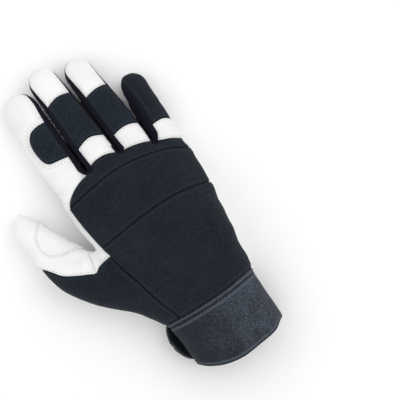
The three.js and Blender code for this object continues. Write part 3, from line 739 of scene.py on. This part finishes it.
def walled(surface, puff, roll, wall, sink, cloth, rows):
    """A panel of cloth or leather: rolled in at its seams, swelling between them, with a wall."""
    for depth in (share * roll for share in RIM_LOOPS):
        d = edge_distance(surface[0], surface[2])
        surface = joined(list(cut(surface, d - depth)))
    points, normal, tris = surface
    d = edge_distance(points, tris)
    inner_rim = 1 - np.minimum(d, RIM_END * roll) / (RIM_END * roll)
    rise = -roll * (1 - np.sqrt(np.maximum(1 - inner_rim ** 2, 0)))
    rise = rise + puff * (1 - np.exp(-d / SWELL_START)) - sink
    fold = relief(points, normal, d, cloth) * np.clip(d / FOLD_START, 0, 1)
    for level in rows:
        fold = fold - ROW_PULL * np.exp(-((d - level) / ROW_WIDTH) ** 2)
    outer = points + normal * (rise + fold)[:, None]
    inner = points - normal * (wall + sink - np.minimum(fold, 0))[:, None]
    outer[:, 2] = np.maximum(outer[:, 2], FLOOR_GAP)
    e = edge_list(tris)
    n = len(points)
    rim = np.vstack([np.stack([e[:, 1], e[:, 0], e[:, 0] + n], 1),
                     np.stack([e[:, 1], e[:, 0] + n, e[:, 1] + n], 1)])
    return (np.vstack([outer, inner]), np.vstack([tris, tris[:, ::-1] + n, rim]), d, points,
            (outer, normals(outer, tris), tris))


# Half the hand's width and height, the power of its section, and the radii of thumb and finger,
# for measuring round the cloth
RING_WIDE, RING_TALL, RING_POWER, THUMB_RADIUS, FINGER_RADIUS = 43, 23, 0.85, 15, 11.5


def surface_place(kind, points):
    """Where each point lies on the cloth: around and along, in millimetres."""
    x, y, z = points.T
    if kind == "hand":
        left, right, top, _ = body_row(y)
        a, b = (right - left) * HAND_WIDTH / 2, top * HAND_THICKNESS * (1 - WIDEST_HEIGHT)
        angle = np.arctan2((x - (left + right) * HAND_WIDTH / 2) / a,
                           (z - WIDEST_HEIGHT * top * HAND_THICKNESS) / b)
        t = np.linspace(0, math.pi, 65)
        ring = np.stack([RING_WIDE * np.abs(np.sin(t)) ** RING_POWER,
                         RING_TALL * np.sign(np.cos(t)) * np.abs(np.cos(t)) ** RING_POWER])
        arc = np.concatenate([[0], np.cumsum(np.linalg.norm(np.diff(ring), axis=0))])
        return np.sign(angle) * np.interp(np.abs(angle), t, arc), y
    if kind == "thumb":
        station, across = thumb_place(x, y)
        height = np.interp(station, THUMB_S, THUMB[:, 4])
        return THUMB_RADIUS * np.arctan2(across, z - height), station
    u, v, w = HANDS[kind].local(x, y, z)
    return FINGER_RADIUS * np.arctan2(u, w), v


def linked(name, data):
    """An object in the scene, at the origin."""
    made = bpy.data.objects.new(name, data)
    bpy.context.scene.collection.objects.link(made)
    return made


def mesh_object(name, points, tris, cloth):
    """A mesh piece in the row frame, in metres. cloth is where each point lies on its cloth and
    how far it is from the nearest seam, for the materials."""
    mesh = bpy.data.meshes.new(name)
    places = (points + WRIST) * MM
    mesh.vertices.add(len(places))
    mesh.vertices.foreach_set("co", places.astype(np.float32).ravel())
    mesh.loops.add(3 * len(tris))
    mesh.loops.foreach_set("vertex_index", tris.astype(np.int32).ravel())
    mesh.polygons.add(len(tris))
    mesh.polygons.foreach_set("loop_start", np.arange(0, 3 * len(tris), 3, dtype=np.int32))
    mesh.update(calc_edges=True)
    mesh.validate()
    mesh.shade_smooth()
    mesh.set_sharp_from_angle(angle=math.radians(SHARP_FROM))
    layer = mesh.attributes.new("cloth", "FLOAT_VECTOR", "POINT")
    layer.data.foreach_set("vector", cloth.astype(np.float32).ravel())
    return linked(name, mesh)


def feed(tree, node, socket, value):
    """Links a value to a socket, or sets it there."""
    if isinstance(value, Value):
        value = value.socket
    if isinstance(value, bpy.types.NodeSocket):
        tree.links.new(value, node.inputs[socket])
    elif value is not None:
        node.inputs[socket].default_value = value


def put(tree, kind, settings=None, values=(), **named):
    """A node with its settings, then the values of its sockets in order, or by name."""
    node = tree.nodes.new(kind)
    for key, value in (settings or {}).items():
        setattr(node, key, value)
    for socket, value in [*enumerate(values), *named.items()]:
        feed(tree, node, socket.replace("_", " ") if isinstance(socket, str) else socket, value)
    return node


class Value:
    """A number in a material, with the arithmetic that the patterns are written in."""

    def __init__(self, finish, socket):
        self.finish, self.socket = finish, socket

    def _with(self, operation, *others):
        return self.finish.add("ShaderNodeMath", {"operation": operation}, 0, *others)

    def __add__(self, other): return self._with("ADD", self, other)
    def __radd__(self, other): return self._with("ADD", other, self)
    def __sub__(self, other): return self._with("SUBTRACT", self, other)
    def __rsub__(self, other): return self._with("SUBTRACT", other, self)
    def __mul__(self, other): return self._with("MULTIPLY", self, other)
    def __rmul__(self, other): return self._with("MULTIPLY", other, self)
    def sine(self): return self._with("SINE", self)

    def between(self, low, high):
        """0 below low, 1 above high and smooth between them."""
        return self.finish.add("ShaderNodeMapRange", {"interpolation_type": "SMOOTHSTEP"}, 0,
                               self, low, high, 0.0, 1.0)


class Finish:
    """A material: its nodes are made by one method."""

    def __init__(self, name, roughness, **constants):
        self.material = bpy.data.materials.new(name)
        self.material.use_nodes = True
        self.tree = self.material.node_tree
        self.tree.nodes.clear()
        self.shader = self.tree.nodes.new("ShaderNodeBsdfPrincipled")
        output = self.tree.nodes.new("ShaderNodeOutputMaterial")
        self.tree.links.new(self.shader.outputs[0], output.inputs["Surface"])
        self.feed("Roughness", roughness)
        for socket, value in constants.items():
            self.feed(socket.replace("_", " "), value)

    def feed(self, socket, value):
        feed(self.tree, self.shader, socket, value)

    def add(self, kind, settings=None, output=0, *values, **named):
        return Value(self, put(self.tree, kind, settings, values, **named).outputs[output])

    def place(self):
        return self.add("ShaderNodeTexCoord", None, "Object")

    def cloth(self):
        """Around, along and the distance from the nearest seam, in millimetres."""
        vector = self.add("ShaderNodeAttribute", {"attribute_name": "cloth"}, "Vector")
        parts = self.add("ShaderNodeSeparateXYZ", None, 0, vector)
        return vector, [Value(self, parts.socket.node.outputs[k]) for k in range(3)]

    def noise(self, vector, scale, detail=3.0, rough=0.5):
        return self.add("ShaderNodeTexNoise", None, 0, Vector=vector, Scale=scale, Detail=detail,
                        Roughness=rough)

    def stretched(self, vector, scale, turn=0.0):
        return self.add("ShaderNodeMapping", None, 0, Vector=vector, Scale=scale,
                        Rotation=(0, 0, turn))

    def mixed(self, factor, *colours):
        colours = [(*c, 1) if isinstance(c, tuple) else c for c in colours]
        return self.add("ShaderNodeMix", {"data_type": "RGBA"}, 2, factor, *[None] * 5, *colours)

    def done(self, colour, height=None, distance=0.0001, strength=1.0):
        self.feed("Base Color", colour)
        if height is not None:
            self.feed("Normal", self.add("ShaderNodeBump", None, 0, Height=height,
                                         Distance=distance, Strength=strength))
        return self.material


def white_leather():
    f = Finish("white_leather", 0.55, Specular_IOR_Level=0.3, Sheen_Weight=0.03)
    place = f.place()
    _, (_, _, seam_gap) = f.cloth()
    grain = f.add("ShaderNodeTexVoronoi", {"feature": "SMOOTH_F1"}, "Distance", Vector=place,
                  Scale=1300.0, Smoothness=0.6, Randomness=0.9)
    fine = f.noise(place, 2600.0, 2.0)
    wrinkle = f.noise(f.stretched(place, (1.0, 0.45, 1.0), 0.4), 420.0, 4.0, 0.6)
    cloud = f.noise(place, 45.0, 3.0)
    height = grain * 0.5 + fine * 0.2 + wrinkle * 1.1
    handled = f.mixed(cloud.between(0.35, 0.7), (0.79, 0.79, 0.785), (0.85, 0.85, 0.85))
    pores = (1 - grain.between(0.0, 0.35)) * 0.06
    # The pores are the leather's grain; the grey that grows within 1.8 mm of each seam is painted
    # shade in the seam's rolled-in groove.
    pores_and_seam_shade = f.mixed(pores + (1 - seam_gap.between(0.1, 1.8)) * 0.18, handled, (0.48, 0.48, 0.5))
    f.feed("Roughness", 0.5 + wrinkle * 0.15)
    return f.done(pores_and_seam_shade, height, 0.00014, 0.6)


def knit(name, dark, light, speck, rib=0.9, rough=0.85, gloss=0.12, slant=0.5, seam=0.7,
         specks=(0.3, 0.7), side_shade=None, edge=(0.002, 0.002, 0.004)):
    """A fine knit: rows of small loops along the cloth, with mottled dye. specks is where the
    yarn's light flecks start and end, and fade is where painted shade, darkest on the thumb's
    side, lifts round the cloth."""
    f = Finish(name, rough, Specular_IOR_Level=gloss, Sheen_Weight=0.04, Sheen_Roughness=0.5)
    vector, (around, along, seam_gap) = f.cloth()
    loops = ((around * (2 * math.pi / rib)).sine() * (along * (2 * math.pi / rib * 0.8)).sine())
    yarn = f.noise(f.stretched(vector, (1.0, 0.45, 1.0), slant), 1.5, 3.0, 0.6)
    cloud = f.noise(vector, 0.045, 3.0)
    patch = f.noise(vector, 0.4, 2.0)
    shade = yarn.between(*specks) * speck + cloud * 0.45 + patch * 0.3 + loops * 0.12 - 0.25
    # Painted shade: the cloth darkens toward the thumb's side, down to 0.38 of its tone, and lifts
    # between the two places round the cloth that are given.
    if side_shade:
        shade = shade * ((around + cloud * 20).between(*side_shade) * 0.62 + 0.38)
    colour = f.mixed(shade.between(0.0, 1.0), dark, light)
    # A lighter band about 2 mm in from each seam is a painted highlight where the seam's roll
    # catches the light.
    seam_highlight = (1 - ((seam_gap - 2.0) * (seam_gap - 2.0) * 0.8).between(0.0, 1.0)) * 0.35
    colour = f.mixed(seam_highlight, colour, light)
    # Right at each seam the colour goes toward edge: the dark default is painted shade in the
    # seam's groove, and the lighter edges given for the side walls and the strap are a painted
    # highlight along them.
    colour = f.mixed((1 - seam_gap.between(0.0, 1.3)) * seam, colour, edge)
    return f.done(colour, loops * 0.5 + yarn * 0.9, 0.0002, 0.7)


def thread(name, dark, light):
    """Twisted sewing thread."""
    f = Finish(name, 0.6, Specular_IOR_Level=0.3)
    twist = f.noise(f.place(), 3000.0, 2.0)
    return f.done(f.mixed(twist.between(0.35, 0.65), dark, light), twist, 0.00006, 0.5)


FINISHES = {
    "leather": white_leather(),
    "stretch": knit("stretch_cloth", (0.0044, 0.0066, 0.0105), (0.0205, 0.0275, 0.038), 0.55),
    "padded": knit("padded_cloth", (0.005, 0.008, 0.0132), (0.0222, 0.031, 0.0445), 0.6),
    # the side walls' lighter edge colour is a painted highlight along their seams
    "side": knit("side_wall_cloth", (0.002, 0.002, 0.008), (0.009, 0.009, 0.024), 0.4, 0.7,
                 edge=(0.02, 0.02, 0.035), seam=0.5),
    # the elastic's darker thumb side is painted shade
    "elastic": knit("heathered_elastic", (0.011, 0.0135, 0.0185), (0.116, 0.137, 0.177), 0.8, 1.3,
                    seam=0.45, specks=(0.4, 0.8), side_shade=(-44, 30), slant=0.9),
    # the strap's lighter edge colour is a painted highlight round its border
    "strap": knit("strap_laminate", (0.006, 0.008, 0.011), (0.024, 0.029, 0.036), 0.3, 0.8, 0.6,
                  0.3, edge=(0.04, 0.047, 0.058), seam=0.6),
    "underlap": knit("underlap_cloth", (0.004, 0.005, 0.008), (0.012, 0.015, 0.021), 0.3),
    "white_thread": thread("white_thread", (0.47, 0.47, 0.49), (0.7, 0.7, 0.71)),
    "dark_thread": thread("dark_thread", (0.008, 0.011, 0.017), (0.026, 0.032, 0.043)),
    "grey_thread": thread("grey_thread", (0.05, 0.058, 0.07), (0.13, 0.148, 0.175)),
}


def near_seam(name, reach=4.0, low=ULNAR_SEAM - 1.5):
    """Where stitches follow a seam of the back."""
    line = seam(name)
    return lambda p: (beside(line, p[:, 0], p[:, 1])[0] < reach) & (p[:, 2] > low)


def round_pad(p):
    """Round the index finger's pad."""
    u, v, w = HANDS["index"].local(*p.T)
    return (inside(finger_line("index", "index_pad"), u, v) > -4.5) & (w > 0)


def on_back(name, low=0.2, end=1.0):
    finger = HANDS[name]

    def region(p):
        u, v, w = finger.local(*p.T)
        return (w > low * finger.thick) & (v < end * finger.length)
    return region


def everywhere(p):
    return np.ones(len(p), bool)


# A panel of the glove: its piece and finish, where its cloth is measured, its swell, the roll at
# its seams, its place on the skin, and its rows of stitches, each with its distance from the
# panel's edge, its thread and where it runs
Panel = namedtuple("Panel", "piece finish cloth swell roll region rows", defaults=[()])
PANELS = {}
for one, two in zip(list(FINGERS), list(FINGERS)[1:]):
    PANELS[f"fourchette_{one}_{two}"] = Panel(f"{one}_{two}_walls", "side", two, 0.2, 0.7,
                                              fork(one, two))
PANELS |= {
    "cuff_band": Panel("elastic_cuff", "elastic", "hand", 0.2, 0.4,
                       below_cuff(-BINDING_WIDTH, CUFF_SEAM),
                       [(0.9, "grey", near_seam("cuff", 6.0, 14.0))]),
    "cuff_binding": Panel("cuff_hem", "elastic", "hand", 0.4, 0.45, below_cuff(0, CUFF_SEAM),
                          [(1.2, "grey", near_seam("cuff", 2.2, 14.0))]),
    "cuff_base": Panel("wrist_underlap", "underlap", "hand", 0.2, 0.6, below_cuff())}
for node, piece, line, beside_it in (
        ("back_lower_panel", "lower_back", "mid_line", []),
        ("back_mid_panel", "middle_back", "knuckle_line", [(1.3, "dark", near_seam("web_edge"))]),
        ("knuckle_panel", "scalloped_knuckles", "knuckle_edge", [])):
    PANELS[node] = Panel(piece, "stretch", "hand", 0.5, 0.9, hand_back(line),
                         [(1.3, "dark", near_seam(line)), *beside_it])
PANELS |= {
    "thumb_side_panel": Panel("thumb_side", "stretch", "thumb", 0.4, 0.9, thumb_side,
                              [(1.3, "dark", near_seam("thumb_edge", 4.0, 10.0))]),
    "thumb_leather": Panel("thumb_cover", "leather", "thumb", 0.3, 0.8, thumb_leather,
                           [(1.4, "white", near_seam("thumb_edge", 4.0, 9.0))]),
    "index_knuckle_pad": Panel("index_pad", "padded", "index", 0.7, 0.9,
                               finger_back("index", finger_line("index", "index_pad")),
                               [(1.2, "dark", on_back("index", 0.3))])}
for name, end in (("middle", 0.75), ("ring", 0.71)):
    PANELS[name + "_tip"] = Panel(name + "_fingertip", "leather", name, 0.3, 0.8,
                                  past_seam(name, name + "_tip"),
                                  [(1.3, "white", on_back(name, 0.2, end))])
    PANELS[name + "_knuckle_pad"] = Panel(name + "_pad", "padded", name, 0.6, 0.9,
                                          past_seam(name, name + "_band"),
                                          [(1.2, "dark", on_back(name, 0.3))])
    PANELS[name + "_band"] = Panel(name + "_root_band", "leather", name, 0.3, 0.7,
                                   finger_back(name, None), [(1.2, "white", on_back(name, 0.5))])
PANELS |= {
    "little_back": Panel("little_finger_back", "stretch", "little", 0.5, 0.9,
                         past_seam("little", "little_band", LITTLE_REACH),
                         [(1.2, "dark", on_back("little", 0.2))]),
    "little_band": Panel("little_root_band", "leather", "little", 0.3, 0.7,
                         finger_back("little", None, LITTLE_REACH),
                         [(1.2, "white", on_back("little", 0.5))]),
    "palm_leather": Panel("palm_and_finger_fronts", "leather", "hand", 0.3, 0.8, None,
                          [(1.4, "white", round_pad), (3.0, "white", round_pad),
                           (1.4, "white", near_seam("web_edge"))]),
    "thumb_patch": Panel("thumb_overlay", "leather", "thumb", 0.0, 0.7, thumb_patch,
                         [(1.3, "white", everywhere)])}
NOT_CUT = ("palm_leather", "thumb_patch")  # what the other panels leave, and what lies on them
# Threads: (pitch, length and thickness of a stitch), and how far its middle lies out of the cloth
THREADS = {"white": (2.5, 1.8, 0.5), "dark": (2.6, 1.9, 0.5), "grey": (2.4, 1.6, 0.5)}
PROUD = 0.08
sewn = {name: [] for name in THREADS}
FEWEST, ROUNDS = 12, 10  # a row's fewest points, and how often it is evened out


def contour(points, normal, tris, value):
    """The lines on a surface where value is 0: chains of points with the normals there."""
    value = np.where(value == 0, 1e-9, value)
    above = value[tris] > 0
    links = {}
    for tri in tris[above.any(axis=1) & ~above.all(axis=1)].tolist():
        one, two = ((min(a, b), max(a, b)) for a, b in zip(tri, tri[1:] + tri[:1])
                    if (value[a] > 0) != (value[b] > 0))
        links.setdefault(one, []).append(two)
        links.setdefault(two, []).append(one)
    chains, seen = [], set()
    for start in sorted(links, key=lambda k: len(links[k])):
        if start in seen:
            continue
        chain, here = [], start
        while here is not None:
            seen.add(here)
            chain.append(here)
            here = next((k for k in links[here] if k not in seen), None)
        if len(chain) > FEWEST:
            a, b = np.array(chain).T
            t = (value[a] / (value[a] - value[b]))[:, None]
            closed = len(links[start]) > 1 and start in links[chain[-1]]
            place = points[a] + t * (points[b] - points[a])
            for _ in range(ROUNDS):
                before, after = np.roll(place, 1, axis=0), np.roll(place, -1, axis=0)
                if not closed:
                    before[0], after[-1] = place[0], place[-1]
                    before[-1], after[0] = place[-1], place[0]
                place = place / 2 + (before + after) / 4
            chains.append((place, normal[a] + t * (normal[b] - normal[a]), closed))
    return chains


def stitch_tree():
    """Geometry Nodes that lay stitches end to end along rows that lie on the cloth."""
    tree = bpy.data.node_groups.new("stitch_rows", "GeometryNodeTree")
    kinds = {"Rows": "NodeSocketGeometry", "Pitch": "NodeSocketFloat",
             "Length": "NodeSocketFloat", "Thickness": "NodeSocketFloat",
             "Thread": "NodeSocketMaterial"}
    for name, kind in kinds.items():
        tree.interface.new_socket(name, in_out="INPUT", socket_type=kind)
    tree.interface.new_socket("Stitches", in_out="OUTPUT", socket_type="NodeSocketGeometry")

    def add(kind, settings=None, **named):
        return put(tree, kind, settings, **named).outputs

    given = add("NodeGroupInput")
    curve = add("GeometryNodeMeshToCurve", Mesh=given["Rows"])[0]
    spots = add("GeometryNodeResampleCurve", {"mode": "LENGTH"}, Curve=curve,
                Length=given["Pitch"])[0]
    bead = add("GeometryNodeMeshUVSphere", Segments=6, Rings=5, Radius=0.5)[0]
    size = add("ShaderNodeCombineXYZ", X=given["Length"], Y=given["Thickness"],
               Z=given["Thickness"])[0]
    stitch = add("GeometryNodeTransform", Geometry=bead, Scale=size)[0]
    out = add("GeometryNodeInputNamedAttribute", {"data_type": "FLOAT_VECTOR"}, Name="out")[0]
    along = add("FunctionNodeAlignRotationToVector", {"axis": "X"},
                Vector=add("GeometryNodeInputTangent")[0])[0]
    flat = add("FunctionNodeAlignRotationToVector", {"axis": "Z", "pivot_axis": "X"},
               Rotation=along, Vector=out)[0]
    laid = add("GeometryNodeInstanceOnPoints", Points=spots, Instance=stitch, Rotation=flat)[0]
    real = add("GeometryNodeRealizeInstances", Geometry=laid)[0]
    thread_on = add("GeometryNodeSetMaterial", Geometry=real, Material=given["Thread"])[0]
    add("NodeGroupOutput", Stitches=thread_on)
    return tree


def stitch(name, chains, rows_tree):
    """One thread's stitches, as one piece."""
    pitch, length, thickness = THREADS[name]
    places, outs, edges = [], [], []
    for place, out, closed in chains:
        first = len(places)
        places.extend((place + PROUD * out + WRIST) * MM)
        outs.extend(out)
        edges += [(k, k + 1) for k in range(first, len(places) - 1)]
        if closed:
            edges.append((len(places) - 1, first))
    rows = bpy.data.meshes.new(name + "_rows")
    rows.from_pydata(places, edges, [])
    rows.attributes.new("out", "FLOAT_VECTOR", "POINT").data.foreach_set(
        "vector", np.array(outs, np.float32).ravel())
    guide = linked(name + "_rows", rows)
    modifier = guide.modifiers.new("stitches", "NODES")
    modifier.node_group = rows_tree
    values = {"Pitch": pitch * MM, "Length": length * MM, "Thickness": thickness * MM,
              "Thread": FINISHES[name + "_thread"]}
    for item in rows_tree.interface.items_tree:
        if item.name in values:
            modifier[item.identifier] = values[item.name]
    graph = bpy.context.evaluated_depsgraph_get()
    graph.update()
    mesh = bpy.data.meshes.new_from_object(guide.evaluated_get(graph))
    guide.modifiers.remove(modifier)
    bpy.data.objects.remove(guide)
    mesh.name = name + "_stitches"
    mesh.shade_smooth()
    made = linked(name + "_stitches", mesh)
    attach(made, "root")


def sew(node, surface, sink=0.0, wall=WALL):
    """A panel's piece in the place of its node, and its rows for the stitches."""
    panel = PANELS[node]
    points, tris, gap, base, (outer, normal, front) = walled(
        surface, panel.swell, panel.roll, wall, sink, panel.finish,
        {level for level, _, _ in panel.rows})
    for level, thread_name, where in panel.rows:
        kept = front[where(base)[front].all(axis=1)]
        sewn[thread_name] += contour(outer, normal, kept, gap - level)
    around, along = surface_place(panel.cloth, base)
    cloth = np.stack([around, along, gap], axis=1)
    made = mesh_object(panel.piece, points, tris, np.vstack([cloth, cloth]))
    made.data.materials.append(FINISHES[panel.finish])
    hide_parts(node)
    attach(made, "root")


def wrist_strap():
    """The closing strap round the underside of the cuff; its round end stands off at the thumb.
    What comes back is its row of stitches."""
    middle, half = STRAP_TOP - STRAP_WIDTH / 2, STRAP_WIDTH / 2
    offset = STRAP_CLEARANCE + STRAP_THICKNESS / 2
    power = 2 / POWER
    angle = np.radians(np.linspace(*STRAP_ARC, 140))

    def place(angle, y, rise):
        left, right, top, base = body_row(y)
        height = WIDEST_HEIGHT * top * HAND_THICKNESS
        a = (right - left) * HAND_WIDTH / 2 + STRAP_FLARE / 2 + offset + rise
        b = height - base * HAND_THICKNESS + offset + rise
        x = (left + right) * HAND_WIDTH / 2 - STRAP_FLARE / 2
        x = x + a * np.sign(np.cos(angle)) * np.abs(np.cos(angle)) ** power
        return np.stack([x, y, height - b * np.abs(np.sin(angle)) ** power], axis=-1)

    spine = place(angle, np.full(angle.shape, middle), 0.0)
    run = np.concatenate([[0], np.cumsum(np.linalg.norm(np.diff(spine, axis=0), axis=1))])
    stations = np.concatenate([STRAP_ROUND * (1 - np.cos(np.linspace(0.13, 1, 16) * math.pi / 2)),
                               np.arange(STRAP_ROUND + 1, run[-1], STRAP_STEP), run[-1:]])
    at = np.interp(stations, run, angle)
    tip = spine[:, 0].min()
    tapered = half * np.sqrt(1 - np.clip((tip + STRAP_TIP - np.interp(stations, run, spine[:, 0]))
                                         / STRAP_TIP, 0, 1) ** 2)
    blunt = STRAP_BLUNT * np.sqrt(1 - np.clip(1 - stations / STRAP_BLUNT, 0, 1) ** 2)
    width = np.minimum((tapered ** 4 + blunt ** 4) ** 0.25, half)
    # the strap's section: how far in from its edge, and how far out of its middle
    face = [(0, 0), (0.2, 0.6), (0.55, 0.95), (1.1, 1.1), (1.8, 1.1), (2.5, 1.08), (3.0, 0.8),
            (5, 0.8), (9, 0.85), (13, 0.9), (16, 0.9)]
    back = [(16, -0.95), (9, -0.95), (3, -1.0), (1, -1.0), (0.4, -0.8)]
    section = ([(-1, *f) for f in face] + [(1, *f) for f in face[-2::-1]]
               + [(1, *f) for f in back[:0:-1]] + [(-1, *f) for f in back])
    side, inset, rise = (np.array(c, float) for c in zip(*section))
    inset = np.minimum(inset[None, :], width[:, None] * (inset / half)[None, :] ** 0.5)
    y = middle + side * (width[:, None] - inset)
    points = place(at[:, None], y, rise[None, :] * np.minimum(1, width / 3)[:, None])
    points[..., 2] = np.maximum(points[..., 2], FLOOR_GAP)
    count, n = len(at), len(section)
    ring = np.arange(count * n).reshape(count, n)
    a, b = ring[:-1], ring[1:]
    c, d = np.roll(a, -1, axis=1), np.roll(b, -1, axis=1)
    tris = [np.stack([a, c, b], -1).reshape(-1, 3), np.stack([b, c, d], -1).reshape(-1, 3)]
    ends = points[[0, -1]].mean(axis=1)
    for hub, loop in ((count * n, ring[0]), (count * n + 1, ring[-1][::-1])):
        tris.append(np.stack([np.full(n, hub), np.roll(loop, -1), loop], 1))
    flat = np.vstack([points.reshape(-1, 3), ends])
    tris = facing_out(flat, np.concatenate(tris))
    gap = np.concatenate([inset.ravel(), [0, 0]])
    along = np.concatenate([np.repeat(stations, n), [0, 0]])
    made = mesh_object("closing_strap", flat, tris, np.stack([flat[:, 1], along, gap], axis=1))
    made.data.materials.append(FINISHES["strap"])
    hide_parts("wrist_strap")
    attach(made, "root")
    # the row runs along the strap's border on both sides and round its end, clear of the floor
    row, clear = 4, 0.8
    mirrored = 2 * (len(face) - 1) - row
    end = np.argmax(points[:, row, 2] < clear)
    loop = np.concatenate([ring[2:end, row][::-1], ring[2:end, mirrored]])
    return flat[loop], normals(flat, tris)[loop], False


points, tris = skin()
points = smoothed(points, tris, 4)
whole = (points, normals(points, tris), tris)
whole, _ = cut(whole, cuff_end(whole[0]))
patch, _ = cut(whole, thumb_patch(whole[0]))
patch, _ = main_part(patch)
for node, surface in panels(whole).items():
    sew(node, surface)
sew("thumb_patch", patch, PATCH_SINK, PATCH_WALL)
sewn["dark"].append(wrist_strap())
rows_tree = stitch_tree()
for name, chains in sewn.items():
    stitch(name, chains, rows_tree)

# The floor, the light and the camera
floor = bpy.data.meshes.new("floor")
floor.from_pydata([(-3, -3, 0), (3, -3, 0), (3, 3, 0), (-3, 3, 0)], [], [(0, 1, 2, 3)])
ground = linked("floor", floor)
paper = Finish("pale_paper", 0.9)
paper.done((0.93, 0.93, 0.93, 1))
floor.materials.append(paper.material)

world = bpy.data.worlds.new("studio")
bpy.context.scene.world = world
world.use_nodes = True
world.node_tree.nodes["Background"].inputs["Color"].default_value = (1, 1, 1, 1)
world.node_tree.nodes["Background"].inputs["Strength"].default_value = 0.95


def lamp(name, place, size, power):
    light = bpy.data.lights.new(name, "AREA")
    light.shape, light.size, light.energy = "DISK", size, power
    made = linked(name, light)
    made.location = place
    made.rotation_euler = (-Vector(place)).to_track_quat("-Z", "Y").to_euler()


lamp("key", (0.8, -0.1, 1.3), 1.3, 4)
lamp("fill", (-0.8, 0.5, 1.3), 1.3, 2)

TURN = math.radians(32.6)  # the fingers' direction in the photograph, from upright
AIM = Vector((31.0, 64.5, 22.0)) + Vector(WRIST)
LEAN = Vector((-0.06, -0.02, 1)).normalized()
DISTANCE, WIDTH = 1200.0, 276.0
right = Vector((math.sin(TURN), math.cos(TURN), 0)).cross(LEAN).normalized()
up = LEAN.cross(right)
camera = linked("camera", bpy.data.cameras.new("camera"))
camera.data.lens = camera.data.sensor_width * DISTANCE / WIDTH
camera.data.clip_start, camera.data.clip_end = 0.05, 20
matrix = [[right[k], up[k], LEAN[k], (AIM[k] + LEAN[k] * DISTANCE) * MM] for k in range(3)]
camera.matrix_world = Matrix([*matrix, [0, 0, 0, 1]])
bpy.context.scene.camera = camera
bpy.context.scene.view_settings.view_transform = "Standard"
